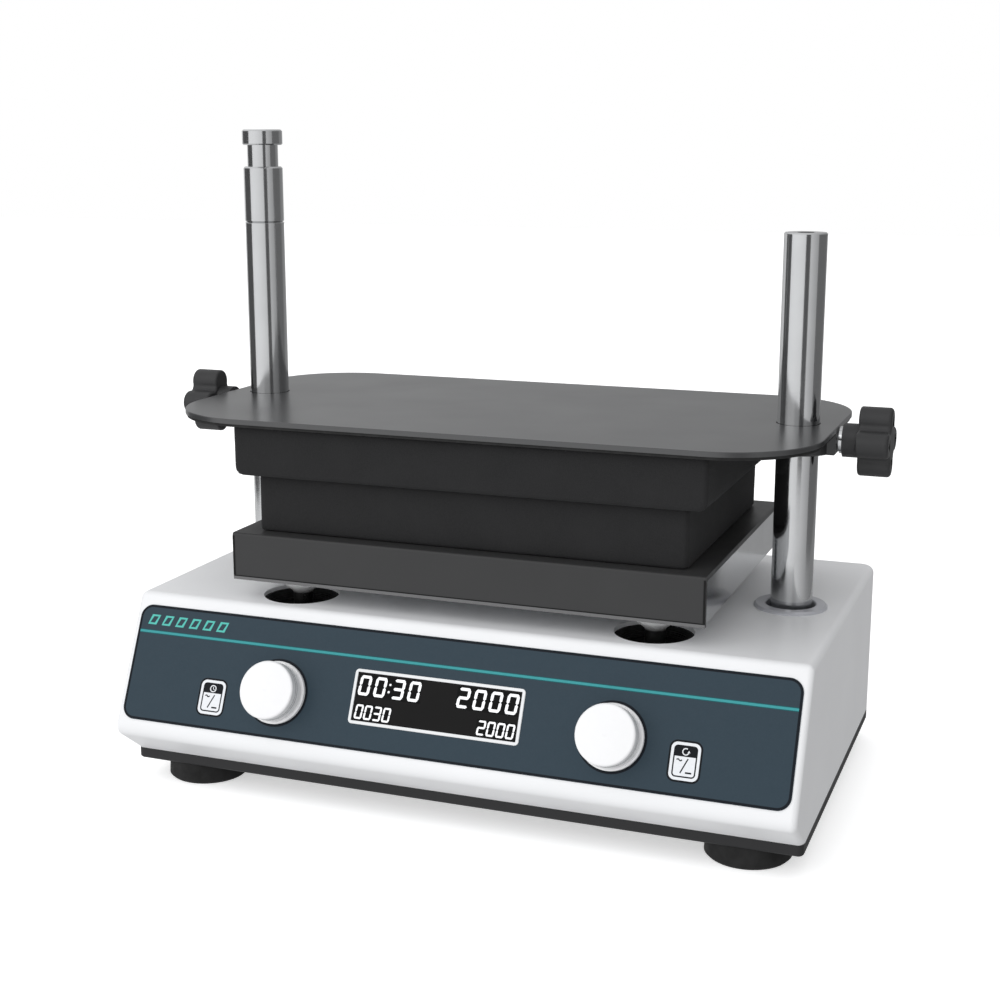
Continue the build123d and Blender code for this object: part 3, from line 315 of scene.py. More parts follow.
def all_finishes(scene):
    """The mixer's finishes by their slot in the record."""
    steel_lay, across = (1, 1, 40), (40, 1, 1)
    prints = scene.mixer_print
    film = Finish("Panel film", tuple(prints.film_colour), 0.46, Specular_IOR_Level=0.15)
    film.relief(film.grain(0.0005, 3.0), 0.00001).polish(film.grain(0.004, 4.0), 0.05)
    film.tint(film.grain(0.0012, 4.0), [channel * 1.1 for channel in prints.film_colour], 0.6)
    polished = machined("Polished steel", (0.56, 0.565, 0.57), 0.13, steel_lay, 0.0000015)
    plate = Finish("Satin grey plate", (0.03, 0.0305, 0.032), 0.3, Specular_IOR_Level=0.95)
    plate.relief(plate.grain(0.0008, 3.0), 0.000005).polish(plate.grain(0.05, 2.0), 0.015)
    plate.tint(plate.grain(0.0015, 3.0), (0.034, 0.0345, 0.036), 0.7)
    glass = Finish("Dark display glass", (0.004, 0.0036, 0.0036), 0.2, Specular_IOR_Level=0.1)
    glass.polish(glass.grain(0.01, 4.0), 0.04)
    glass.relief(glass.grain(0.02), 0.00001)
    knob = Finish("White knob", (0.92, 0.92, 0.925), 0.3)
    knob.relief(knob.grain(0.0006, 3.0), 0.000004).polish(knob.grain(0.0009, 3.0), 0.02)
    knob.tint(knob.grain(0.004, 3.0), (0.9, 0.9, 0.91), 0.5)
    board = moulded("Board lacquer", (0.02, 0.16, 0.06), 0.35)
    return {
        "casing": painted("White powder coat", (0.87, 0.875, 0.885), 0.36),
        "base_plate": painted(
            "Dark base coat", (0.026, 0.026, 0.027), 0.5, 0.00004, Specular_IOR_Level=0.2
        ),
        "rubber_black": rubbery("Black rubber", (0.012, 0.012, 0.012)),
        "screw_steel": machined("Screw steel", (0.5, 0.5, 0.52), 0.3, across),
        "overlay": film,
        "bezel": moulded("Display frame", (0.86, 0.87, 0.88), 0.35, 0.00001),
        "window": glass,
        "display": moulded("Display module", (0.02, 0.02, 0.022), 0.3),
        "board": board,
        "pillar_brass": machined("Turned brass", (0.75, 0.55, 0.24), 0.28, steel_lay),
        "knob_white": knob,
        "encoder_body": moulded("Encoder body", (0.025, 0.025, 0.028)),
        "collar": moulded("Satin collar", (0.52, 0.525, 0.56), 0.36, 0.000006, Metallic=0.2),
        "motor": painted("Motor paint", (0.05, 0.05, 0.056), 0.45),
        "shaft_steel": machined("Ground steel", (0.6, 0.6, 0.62), 0.2, steel_lay),
        "weight": machined("Cast weight", (0.35, 0.35, 0.37), 0.45, (1, 1, 1), 0.00002),
        "aluminium_part": machined("Milled aluminium", (0.62, 0.63, 0.65), 0.32, (1, 25, 1)),
        "bearing": machined("Bearing steel", (0.58, 0.58, 0.6), 0.15, steel_lay),
        "polished_steel": polished,
        "tray_black": painted(
            "Tray coat", (0.043, 0.043, 0.0435), 0.42, 0.000012, Specular_IOR_Level=0.2
        ),
        "tray_end": machined("Polished end plate", (0.6, 0.61, 0.62), 0.16, (1, 30, 1), 0.000002),
        "foam": foam_finish(scene.mixer_foam),
        "plate_grey": plate,
        "damping": rubbery("Damping rubber", (0.018, 0.018, 0.018)),
        "boss_black": painted("Black anodised", (0.02, 0.02, 0.021), 0.35, 0.00001),
        "brass_tip": machined("Brass tip", (0.75, 0.55, 0.24), 0.25, across),
        "star_black": moulded(
            "Star knob nylon", (0.034, 0.034, 0.035), 0.45, 0.00004, Specular_IOR_Level=0.3
        ),
        "power_box": machined("Folded aluminium", (0.5, 0.5, 0.52), 0.4, across),
        "fitting_black": moulded(
            "Black fitting", (0.014, 0.014, 0.015), 0.4, Specular_IOR_Level=0.3
        ),
    }


def dress(piece, material):
    piece.data.materials.clear()
    piece.data.materials.append(material)


# ---- making and finishing pieces -----------------------------------------------------------------
def new_piece(name, mesh, body, material):
    """A finished mesh piece in the shared frame, riding on its body."""
    piece = bpy.data.objects.new(name, mesh)
    bpy.context.scene.collection.objects.link(piece)
    dress(piece, material)
    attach(piece, body)
    return piece


def mesh_of(shape, name):
    """Turn a bmesh into a mesh with its faces outwards."""
    bmesh.ops.recalc_face_normals(shape, faces=shape.faces)
    mesh = bpy.data.meshes.new(name)
    shape.to_mesh(mesh)
    shape.free()
    return mesh


def rounded_outline(width, height, radius, centre=(0, 0), steps=8):
    """Points round a rectangle with rounded corners."""
    points = []
    for turn, (sx, sy) in enumerate(((1, 1), (-1, 1), (-1, -1), (1, -1))):
        cx = centre[0] + sx * (width / 2 - radius)
        cy = centre[1] + sy * (height / 2 - radius)
        for step in range(steps + 1):
            angle = math.pi / 2 * (turn + step / steps)
            points.append((cx + radius * math.cos(angle), cy + radius * math.sin(angle)))
    return points


def prism(shape, ends, holes=None):
    """Close the faces between two rings of corners, round the two rings of a hole if given."""
    pairs = [ends]
    if holes is None:
        for ring in ends:
            shape.faces.new(ring)
    else:
        pairs += [holes, (ends[0], holes[0]), (ends[1], holes[1])]
    for first, second in pairs:
        for i in range(len(first)):
            j = (i + 1) % len(first)
            shape.faces.new((first[i], first[j], second[j], second[i]))


def printed(shape, outline, low, high, hole=None):
    """Add a flat printed shape, between two heights above the film. hole has as many points."""
    def rings(points):
        return [
            [shape.verts.new(panel_point(x, up, lift)) for x, up in points] for lift in (low, high)
        ]

    prism(shape, rings(outline), rings(hole) if hole else None)


def stroke(points, width):
    """Outline of a thick line through a few points."""
    left, right = [], []
    for i, point in enumerate(points):
        before = Vector(points[max(i - 1, 0)])
        after = Vector(points[min(i + 1, len(points) - 1)])
        along = (after - before).normalized()
        side = Vector((-along.y, along.x)) * width / 2
        left.append(tuple(Vector(point) + side))
        right.append(tuple(Vector(point) - side))
    return left + right[::-1]


def arc(centre, radius, start, end, steps=14):
    """Points along an arc, with its angles in degrees."""
    angles = [math.radians(start + (end - start) * i / steps) for i in range(steps + 1)]
    return [(centre[0] + radius * math.cos(a), centre[1] + radius * math.sin(a)) for a in angles]


# ---- geometry node trees -------------------------------------------------------------------------
class Growth:
    """A geometry node tree with named inputs, and the points that it grows on."""

    def __init__(self, name, inputs):
        self.tree = bpy.data.node_groups.new(name, "GeometryNodeTree")
        self.identifiers = {}
        new_socket, geometry = self.tree.interface.new_socket, "NodeSocketGeometry"
        new_socket("Geometry", in_out="INPUT", socket_type=geometry)
        for label, kind in inputs:
            socket = new_socket(label, in_out="INPUT", socket_type=kind)
            self.identifiers[label] = socket.identifier
        new_socket("Geometry", in_out="OUTPUT", socket_type=geometry)
        self.given = self.tree.nodes.new("NodeGroupInput")
        self.result = self.tree.nodes.new("NodeGroupOutput")

    def add(self, kind, inputs=None, **settings):
        node = self.tree.nodes.new(kind)
        for key, value in settings.items():
            setattr(node, key, value)
        for socket, value in (inputs or {}).items():
            if isinstance(value, bpy.types.NodeSocket):
                self.tree.links.new(value, node.inputs[socket])
            else:
                node.inputs[socket].default_value = value
        return node

    def named(self, attribute, kind="FLOAT"):
        """Read an attribute of the points."""
        node = self.add("GeometryNodeInputNamedAttribute", {"Name": attribute}, data_type=kind)
        return node.outputs["Attribute"]

    def close(self, geometry):
        """End the tree in real geometry with its material."""
        real = self.add("GeometryNodeRealizeInstances", {"Geometry": geometry})
        dressed = self.add("GeometryNodeSetMaterial", {
            "Geometry": real.outputs["Geometry"], "Material": self.given.outputs["Material"],
        })
        self.tree.links.new(dressed.outputs["Geometry"], self.result.inputs["Geometry"])

    def grow(self, places, values, attributes=()):
        """A plain mesh grown on points. attributes holds (name, kind, one value a point)."""
        mesh = bpy.data.meshes.new(self.tree.name)
        mesh.from_pydata([tuple(place) for place in places], [], [])
        for name, kind, numbers in attributes:
            layer = mesh.attributes.new(name, kind, "POINT")
            for item, number in zip(layer.data, numbers):
                if kind == "FLOAT_VECTOR":
                    item.vector = number
                else:
                    item.value = number
        seed = bpy.data.objects.new(self.tree.name, mesh)
        bpy.context.scene.collection.objects.link(seed)
        modifier = seed.modifiers.new("Growth", "NODES")
        modifier.node_group = self.tree
        for label, value in values.items():
            modifier[self.identifiers[label]] = value
        grown = evaluated_mesh(seed)
        seed.modifiers.remove(modifier)
        bpy.data.objects.remove(seed)
        return grown


def evaluated_mesh(piece):
    """The mesh of a piece with its modifiers applied."""
    bpy.context.view_layer.update()
    graph = bpy.context.evaluated_depsgraph_get()
    return bpy.data.meshes.new_from_object(piece.evaluated_get(graph), depsgraph=graph)


# ---- finishes on the CAD pieces ------------------------------------------------------------------
class MIXER_OT_surface_finishes(bpy.types.Operator):
    """Give every CAD piece the finish of its material slot"""

    bl_idname = "mixer.surface_finishes"
    bl_label = "Surface finishes"

    def execute(self, context):
        finishes = all_finishes(context.scene)
        slots = {part["node"]: part["material_slot"] for part in frame["record"]["subparts"]}
        for node, piece in NODES.items():
            dress(piece, finishes[slots[node]].material)
        dress(NODES["standoffs"], bowl_finish().material)
        context.scene["mixer_finishes"] = {slot: f.material.name for slot, f in finishes.items()}
        return {"FINISHED"}


def finish_of(slot):
    return bpy.data.materials[bpy.context.scene["mixer_finishes"][slot]]


# ---- foam ----------------------------------------------------------------------------------------
MERGE_DISTANCE = 0.00001
BROAD_WAVES, FINE_WAVES = 45, 240  # waves in a metre
SIDE_FACE = 0.5                    # a face whose normal rises less than this is a side
OUTER_SHARE = 0.9                  # beyond this share of the block, a side is an outer one


def cut_foam(node, name, body, context):
    """A foam block from its CAD node: remeshed, with eased edges and slightly uneven faces."""
    settings = context.scene.mixer_foam
    mesh = NODES[node].data.copy()
    shape = bmesh.new()
    shape.from_mesh(mesh)
    bmesh.ops.remove_doubles(shape, verts=shape.verts, dist=MERGE_DISTANCE)
    shape.to_mesh(mesh)
    shape.free()
    block = bpy.data.objects.new(name + ".rough", mesh)
    context.scene.collection.objects.link(block)
    remesh = block.modifiers.new("Cells", "REMESH")
    remesh.mode = "VOXEL"
    remesh.voxel_size = settings.voxel
    ease = block.modifiers.new("Eased edges", "SMOOTH")
    ease.factor = 0.5
    ease.iterations = 2
    foam = evaluated_mesh(block)
    bpy.data.objects.remove(block)

    low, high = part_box(node)
    centre, half = (low + high) / 2, (high - low) / 2
    normals = [normal.vector.copy() for normal in foam.vertex_normals]
    for vertex, normal in zip(foam.vertices, normals):
        spot = vertex.co - centre
        rough = noise.noise(vertex.co * BROAD_WAVES) + 0.5 * noise.noise(vertex.co * FINE_WAVES)
        move = (rough - 0.6) * settings.waviness
        if abs(normal.z) < SIDE_FACE:
            along = min(abs(spot.x / half.x), abs(spot.y / half.y))
            if max(abs(spot.x / half.x), abs(spot.y / half.y)) > OUTER_SHARE:
                rise = 1 - (spot.z / half.z) ** 2
                move += settings.bulge * (1 - along ** 2) * (0.4 + 0.6 * rise)
        vertex.co += normal * move
        vertex.co.z = min(max(vertex.co.z, low.z), high.z)
    foam.name = name
    for polygon in foam.polygons:
        polygon.use_smooth = True
    piece = new_piece(name, foam, body, finish_of("foam"))
    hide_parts(node)


class MIXER_OT_foam(bpy.types.Operator):
    """Make the foam tube rack and the foam pad of the clamp plate"""

    bl_idname = "mixer.foam"
    bl_label = "Foam rack and pad"

    def execute(self, context):
        cut_foam("tube_rack", "foam_rack", "platform", context)
        cut_foam("clamp_pad", "foam_pad", "clamp", context)
        return {"FINISHED"}


# ---- print on the panel --------------------------------------------------------------------------
def ink(name, colour, roughness=0.4, **sockets):
    """Screen-printed ink with slight unevenness."""
    layer = Finish(name, colour, roughness, Specular_IOR_Level=0.12, **sockets)
    layer.polish(layer.grain(0.002, 3.0), 0.05)
    darker = [channel * 0.88 for channel in colour]
    return layer.tint(layer.grain(0.0015, 3.0), darker, 0.5).material


FILM_INSET = 0.15 * MM                    # from the film's edge to the border
FILM_CORNER = 7.8 * MM
KNOB_OUTLINE = (20.3 * MM, 18.8 * MM)     # outer and inner radius
MOTIF_BARS = 6
MOTIF_FOOT = 12.2 * MM                    # from the film's top edge
MOTIF_MARGIN = 6 * MM                     # from the film's left edge
MOTIF_SLANT, MOTIF_PITCH = 2.2 * MM, 9.6 * MM


class MIXER_OT_panel_print(bpy.types.Operator):
    """Print the border, the stripe and the row of bars on the panel's film"""

    bl_idname = "mixer.panel_print"
    bl_label = "Panel print"

    def execute(self, context):
        settings = context.scene.mixer_print
        width, height = 2 * PANEL_HALF, PANEL_TOP - PANEL_FOOT
        centre = (0, (PANEL_TOP + PANEL_FOOT) / 2)
        inset, line = FILM_INSET, settings.border_width
        border = bmesh.new()
        printed(
            border,
            rounded_outline(width - 2 * inset, height - 2 * inset, FILM_CORNER, centre, 12),
            0, settings.ink,
            rounded_outline(
                width - 2 * (inset + line), height - 2 * (inset + line), FILM_CORNER - line,
                centre, 12,
            ),
        )
        for joint in ("time_turn", "speed_turn"):
            middle = Vector(JOINTS[joint]["pos_m"])
            centre = (middle.x, middle.dot(PANEL_UP))
            rings = [rounded_outline(2 * r, 2 * r, r, centre, 12) for r in KNOB_OUTLINE]
            printed(border, rings[0], 0, settings.ink, rings[1])
        new_piece("overlay_border", mesh_of(border, "overlay_border"), "base",
                  ink("Border ink", settings.border_colour))

        level = PANEL_TOP - settings.stripe_drop
        reach_x = PANEL_HALF - inset - line
        tall = settings.stripe_height
        stripe, edges = bmesh.new(), bmesh.new()
        bands = ((stripe, -0.3, 0.3), (edges, -0.5, -0.3), (edges, 0.3, 0.5))
        for shape, low, high in bands:
            outline = [
                (-reach_x, level + low * tall), (reach_x, level + low * tall),
                (reach_x, level + high * tall), (-reach_x, level + high * tall),
            ]
            printed(shape, outline, 0, settings.ink)
        new_piece("overlay_stripe", mesh_of(stripe, "overlay_stripe"), "base",
                  ink("Stripe ink", settings.stripe_colour))
        new_piece("overlay_stripe_edges", mesh_of(edges, "overlay_stripe_edges"), "base",
                  ink("Stripe edge ink", settings.stripe_edge_colour))

        motif = bmesh.new()
        foot = PANEL_TOP - MOTIF_FOOT
        bar_corners = ((0, 0), (5.8, 0), (5.8, 6.2), (0, 6.2))
        gap_corners = ((1.35, 1.1), (4.55, 1.1), (4.45, 5.1), (1.25, 5.1))
        for i in range(MOTIF_BARS):
            left = MOTIF_MARGIN - PANEL_HALF + MOTIF_PITCH * i
            outer, inner = (
                [(left + x * MM + (MOTIF_SLANT if y > 3 else 0), foot + y * MM) for x, y in corners]
                for corners in (bar_corners, gap_corners)
            )
            printed(motif, outer, 0, settings.ink, inner)
        new_piece("overlay_motif", mesh_of(motif, "overlay_motif"), "base",
                  ink("Motif ink", settings.motif_colour))
        return {"FINISHED"}


class MIXER_OT_knob_labels(bpy.types.Operator):
    """Print a framed label beside each knob, with a picture of its setting"""

    bl_idname = "mixer.knob_labels"
    bl_label = "Labels beside the knobs"

    def execute(self, context):
        settings = context.scene.mixer_print
        wide, tall, layer = settings.icon_width, settings.icon_height, settings.ink
        white, dark = bmesh.new(), bmesh.new()
        for side in (-1, 1):
            cx, cy = side * settings.icon_place, PANEL_TOP - settings.icon_drop

            def at(points):
                return [(cx + x * MM, cy + y * MM) for x, y in points]

            half_w, half_h = wide / MM / 2, tall / MM / 2
            edge = rounded_outline(wide + 2.2 * MM, tall + 2.2 * MM, 4.5 * MM, (cx, cy))
            printed(dark, edge, 0, layer)
            printed(white, rounded_outline(wide, tall, 3.5 * MM, (cx, cy)), layer, 2 * layer)
            printed(
                dark,
                rounded_outline(wide - 3.2 * MM, tall - 3.2 * MM, 2.2 * MM, (cx, cy)),
                2 * layer, 3 * layer,
                rounded_outline(wide - 4.7 * MM, tall - 4.7 * MM, 1.5 * MM, (cx, cy)),
            )
            top = half_h - 2.3
            printed(dark, at([
                (-half_w + 2.3, top - 5.4), (half_w - 2.3, top - 5.4), (half_w - 2.3, top - 0.4),
                (half_w - 3.0, top), (-half_w + 3.0, top), (-half_w + 2.3, top - 0.4),
            ]), 2 * layer, 3 * layer)
            if side < 0:
                face = rounded_outline(4.3 * MM, 4.3 * MM, 2.1 * MM, (cx, cy + (top - 2.7) * MM))
                inside = rounded_outline(3.1 * MM, 3.1 * MM, 1.5 * MM, (cx, cy + (top - 2.7) * MM))
                printed(white, face, 3 * layer, 4 * layer, inside)
                hands = [(0, top - 1.6), (0, top - 2.8), (0.9, top - 3.3)]
                printed(white, stroke(at(hands), 0.45 * MM), 3 * layer, 4 * layer)
            else:
                ring = arc((0, top - 2.7), 1.75, 60, 350)
                printed(white, stroke(at(ring), 0.6 * MM), 3 * layer, 4 * layer)
                printed(white, at([(1.0, top - 3.2), (2.5, top - 3.2), (1.75, top - 1.9)]),
                        3 * layer, 4 * layer)
            printed(dark, stroke(at([(1.7, 1.6), (-1.9, -6.4)]), 0.7 * MM), 2 * layer, 3 * layer)
            wave = [(-4.6 + 0.25 * i, 0.6 + 0.45 * math.sin(i * 0.55)) for i in range(13)]
            printed(dark, stroke(at(wave), 0.7 * MM), 2 * layer, 3 * layer)
            printed(dark, stroke(at([(0.9, -6.0), (4.4, -6.0)]), 0.9 * MM), 2 * layer, 3 * layer)
        new_piece("label_white", mesh_of(white, "label_white"), "base",
                  ink("Label white", (0.88, 0.9, 0.93), 0.35))
        new_piece("label_dark", mesh_of(dark, "label_dark"), "base",
                  ink("Label dark", (0.004, 0.006, 0.009), 0.35))
        return {"FINISHED"}


# ---- display -------------------------------------------------------------------------------------
SEGMENTS = {
    "0": "abcdef", "1": "bc", "2": "abged", "3": "abgcd", "4": "fgbc",
    "5": "afgcd", "6": "afgedc", "7": "abc", "8": "abcdefg", "9": "abcdfg",
}
# Each segment's middle on a digit 1 wide and 1 high, from its lower left corner, and how it lies
SEGMENT_PLACES = {
    "a": (0.5, 1.0, "level"), "g": (0.5, 0.5, "level"), "d": (0.5, 0.0, "level"),
    "f": (0.0, 0.75, "upright"), "b": (1.0, 0.75, "upright"),
    "e": (0.0, 0.25, "upright"), "c": (1.0, 0.25, "upright"),
}
SLANT = 0.09
WINDOW_MARGIN = 1.6 * MM
CELL_MARGIN = 0.7 * MM
COLON_GAP = 0.18
SEGMENT_THICKNESS = 0.05 * MM
SEGMENT_LIFT = 0.02 * MM


def bar_outline(length, thick):
    """A bar pointed at both ends, along X."""
    half, tip = length / 2, thick / 2
    return [
        (-half, 0), (tip - half, -tip), (half - tip, -tip),
        (half, 0), (half - tip, tip), (tip - half, tip),
    ]


def segment_growth():
    """Place one bar, given as an object, on every point, turned as the point says."""
    growth = Growth("Display segments", (
        ("Bar", "NodeSocketObject"), ("Material", "NodeSocketMaterial"),
    ))
    source = growth.add("GeometryNodeObjectInfo", {"Object": growth.given.outputs["Bar"]})
    bars = growth.add("GeometryNodeInstanceOnPoints", {
        "Points": growth.given.outputs["Geometry"], "Instance": source.outputs["Geometry"],
        "Rotation": growth.named("turn", "FLOAT_VECTOR"),
    })
    growth.close(bars.outputs["Instances"])
    return growth


class MIXER_OT_display(bpy.types.Operator):
    """Light the display's digits on its window, as bars grown on the places of the lit segments"""

    bl_idname = "mixer.display"
    bl_label = "Display digits"

    def execute(self, context):
        settings = context.scene.mixer_display
        low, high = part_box("display_window")
        ends = (
            (settings.time_text, low.x + WINDOW_MARGIN, 1),
            (settings.speed_text, high.x - WINDOW_MARGIN, -1),
        )
        face = reach("display_window", PANEL_OUT) - PANEL_LEVEL
        window_top = reach("display_window", PANEL_UP)
        window_foot = -reach("display_window", -PANEL_UP)
        large, small = settings.large_height, settings.small_height
        # For each row: height, top edge, then stroke, width and pitch as shares of the height
        rows = {
            "large": (large, window_top - WINDOW_MARGIN, 0.155, 0.62, 0.83),
            "small": (small, window_foot + 0.75 * WINDOW_MARGIN + small, 0.14, 0.58, 0.68),
        }
        lit = ink("Lit segments", tuple(settings.digit_colour), 0.4,
                  Emission_Color=(*settings.digit_colour, 1), Emission_Strength=settings.glow)
        growth = segment_growth()
        cells = bmesh.new()
        for label, (tall, top, stroke_share, width_share, pitch_share) in rows.items():
            line = tall * stroke_share
            size = (tall * width_share - line, tall - line)
            step = tall * pitch_share
            spots = {"level": [], "upright": [], "dot": []}
            for text, start, direction in ends:
                digits = [character for character in text if character.isdigit()]
                colon = text.find(":") if label == "large" else -1
                gap = step * COLON_GAP if colon >= 0 else 0.0
                span = step * (len(digits) - 1) + gap + tall * width_share
                left = start if direction > 0 else start - span
                printed(cells, [
                    (left - CELL_MARGIN, top - tall - CELL_MARGIN),
                    (left + span + CELL_MARGIN, top - tall - CELL_MARGIN),
                    (left + span + CELL_MARGIN, top + CELL_MARGIN),
                    (left - CELL_MARGIN, top + CELL_MARGIN),
                ], face, face + SEGMENT_LIFT / 2)
                for i, digit in enumerate(digits):
                    x = left + i * step + (gap if 0 <= colon <= i else 0) + line / 2
                    for name in SEGMENTS[digit]:
                        across, up, kind = SEGMENT_PLACES[name]
                        spots[kind].append(
                            (x + across * size[0], top - tall + line / 2 + up * size[1])
                        )
                    if i == colon:
                        middle = x - line / 2 - (step - tall * width_share + gap) / 2
                        spots["dot"] += [(middle, top - tall * share) for share in (0.32, 0.68)]
            self.light(context, growth, label, (tall, line, size), spots, face, lit)
        new_piece("digits_ground", mesh_of(cells, "digits_ground"), "base",
                  ink("Unlit cells", (0.0006, 0.0006, 0.0006), 0.5))
        return {"FINISHED"}

    def light(self, context, growth, label, sizes, spots, face, lit):
        """Grow one row of digits: level bars, upright bars and dots, each from its own bar."""
        tall, line, (wide, high) = sizes
        thick = line * 0.92
        outlines = {
            "level": bar_outline(wide + line * 0.55, thick),
            "upright": bar_outline(high / 2 + line * 0.1, thick),
            "dot": rounded_outline(line * 0.7, line * 0.7, line * 0.25, (0, 0), 2),
        }
        row = bmesh.new()
        for kind, outline in outlines.items():
            if not spots[kind]:
                continue
            shape = bmesh.new()
            prism(shape, [
                [shape.verts.new((x, y, z)) for x, y in outline] for z in (0, SEGMENT_THICKNESS)
            ])
            source = bpy.data.objects.new("bar", mesh_of(shape, "bar"))
            context.scene.collection.objects.link(source)
            turn = (0, 0, math.pi / 2) if kind == "upright" else (0, 0, 0)
            row.from_mesh(growth.grow(
                [(x, y, 0) for x, y in spots[kind]], {"Bar": source, "Material": lit},
                [("turn", "FLOAT_VECTOR", [turn] * len(spots[kind]))],
            ))
            bpy.data.objects.remove(source)
        foot = min(vertex.co.y for vertex in row.verts)
        for vertex in row.verts:
            across = vertex.co.x + (vertex.co.y - foot - tall / 2) * SLANT
            vertex.co = panel_point(across, vertex.co.y, face + SEGMENT_LIFT + vertex.co.z)
        new_piece(f"digits_{label}", mesh_of(row, f"digits_{label}"), "base", lit)


# ---- edges of the tray ---------------------------------------------------------------------------
def bar(shape, low, high):
    """Add a box to a bmesh."""
    size = Vector(high) - Vector(low)
    place = Matrix.Translation((Vector(high) + Vector(low)) / 2) @ Matrix.Diagonal((*size, 1))
    bmesh.ops.create_cube(shape, size=1, matrix=place)


EDGE_PROUD = 0.25 * MM
HEM_HEIGHT = 1.9 * MM
DARK_EDGE_WIDTH = 0.6 * MM


class MIXER_OT_tray_edges(bpy.types.Operator):
    """Make the hem along the tray's lower edges, lighter as a painted highlight, and near-black strips above it
    and at its ends as a painted dark reflection of the edges
    """

    bl_idname = "mixer.tray_edges"
    bl_label = "Edges of the tray"

    def execute(self, context):
        low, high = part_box("tray_cover")
        proud, hem_height, line = EDGE_PROUD, HEM_HEIGHT, DARK_EDGE_WIDTH
        hem, dark_edges = bmesh.new(), bmesh.new()
        for y in ((low.y - proud, low.y + proud), (high.y - proud, high.y + proud)):
            bar(hem, (low.x, y[0], low.z), (high.x, y[1], low.z + hem_height))
            bar(dark_edges, (low.x, y[0], low.z + hem_height), (high.x, y[1], low.z + hem_height + line))
            for x in ((low.x, low.x + 2 * line), (high.x - 2 * line, high.x)):
                bar(dark_edges, (x[0], y[0], low.z + hem_height + line), (x[1], y[1], high.z - 3 * line))
        # painted highlight: the hem is lighter than the tray's coat
        hem_highlight_coat = painted("Rubbed hem", (0.13, 0.13, 0.132), 0.35, 0.000008)
        # painted dark reflection: near-black strips along the tray's edges
        dark_edge_coat = painted(
            "Cut edges", (0.008, 0.008, 0.008), 0.5, 0.000008, Specular_IOR_Level=0.15
        )
        new_piece("tray_hem", mesh_of(hem, "tray_hem"), "platform", hem_highlight_coat.material)
        new_piece("tray_cut_edges", mesh_of(dark_edges, "tray_cut_edges"), "platform",
                  dark_edge_coat.material)
        return {"FINISHED"}


# ---- lines of painted shade round the knobs ------------------------------------------------------
LINE_SHARES = (0.34, 0.5)     # of the way from the knob's foot to its front
LINE_WIDTH = 0.35 * MM
LINE_PROUD, LINE_BITE = 0.06 * MM, 0.4 * MM


class MIXER_OT_knob_lines(bpy.types.Operator):
    """Run thin grey lines round the side of each control knob, painted shade where its grooves lie"""

    bl_idname = "mixer.knob_lines"
    bl_label = "Lines round the knobs"

    def execute(self, context):
        # painted shade: grey rings where the knob's grooves would be in shade
        grey = moulded("Knob line", (0.2, 0.21, 0.22), 0.4, 0.000004).material
        for name in ("time", "speed"):
            low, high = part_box(f"{name}_knob")
            radius = (high.x - low.x) / 2
            middle = Vector(JOINTS[f"{name}_turn"]["pos_m"])
            foot = -reach(f"{name}_knob", -PANEL_OUT)
            front = reach(f"{name}_knob", PANEL_OUT)
            shape = bmesh.new()
            for share in LINE_SHARES:
                level = foot + (front - foot) * share - PANEL_LEVEL
                rings = [
                    rounded_outline(2 * r, 2 * r, r, (middle.x, middle.dot(PANEL_UP)), 16)
                    for r in (radius + LINE_PROUD, radius - LINE_BITE)
                ]
                printed(shape, rings[0], level, level + LINE_WIDTH, rings[1])
            new_piece(f"{name}_knob_lines", mesh_of(shape, f"{name}_knob_lines"),
                      f"{name}_control", grey)
        return {"FINISHED"}


# ---- rubber boots --------------------------------------------------------------------------------
BOOT_LIP = 4 * MM             # how far a boot goes past its hole
BOOT_WALL = 2.2 * MM
FOLD_RADIUS = 0.8 * MM
FOLD_SIDES = 48
FIRST_FOLD, FOLD_SPREAD = 1.9, 4.2  # how far the folds lie inside the hole, in mm


class MIXER_OT_boot_folds(bpy.types.Operator):
    """Grow the folds of the four rubber boots as rings that narrow towards the stem"""

    bl_idname = "mixer.boot_folds"
    bl_label = "Folds of the boots"

    hole_radius: length_setting("Hole", "Radius of the hole that a boot closes", 0.0233)
    folds: bpy.props.IntProperty(name="Folds", description="Folds of each boot", default=4, min=1)

    def execute(self, context):
        low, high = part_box("shaft_boots")
        growth = Growth("Boot folds", (
            ("Fold radius", "NodeSocketFloat"), ("Sides", "NodeSocketInt"),
            ("Material", "NodeSocketMaterial"),
        ))
        ring = growth.add("GeometryNodeCurvePrimitiveCircle", {
            "Radius": 1.0, "Resolution": growth.given.outputs["Sides"],
        })
        rings = growth.add("GeometryNodeInstanceOnPoints", {
            "Points": growth.given.outputs["Geometry"], "Instance": ring.outputs["Curve"],
            "Scale": growth.named("radius"),
        })
        curves = growth.add("GeometryNodeRealizeInstances", {
            "Geometry": rings.outputs["Instances"],
        })
        profile = growth.add("GeometryNodeCurvePrimitiveCircle", {
            "Radius": growth.given.outputs["Fold radius"], "Resolution": 10,
        })
        folds = growth.add("GeometryNodeCurveToMesh", {
            "Curve": curves.outputs["Geometry"], "Profile Curve": profile.outputs["Curve"],
        })
        growth.close(folds.outputs["Mesh"])
        places, radii = [], []
        lip, wall = self.hole_radius + BOOT_LIP, BOOT_WALL
        for x in (low.x + lip, high.x - lip):
            for y in (low.y + lip, high.y - lip):
                for i in range(self.folds):
                    share = (i + 0.5) / self.folds
                    places.append((x, y, high.z - wall - share * (high.z - low.z - 2 * wall)))
                    radii.append(self.hole_radius - (FIRST_FOLD + FOLD_SPREAD * share) * MM)
        rubber = finish_of("rubber_black")
        folds_mesh = growth.grow(
            places, {"Fold radius": FOLD_RADIUS, "Sides": FOLD_SIDES, "Material": rubber},
            [("radius", "FLOAT", radii)],
        )
        for polygon in folds_mesh.polygons:
            polygon.use_smooth = True
        new_piece("boot_folds", folds_mesh, "base", rubber)
        return {"FINISHED"}


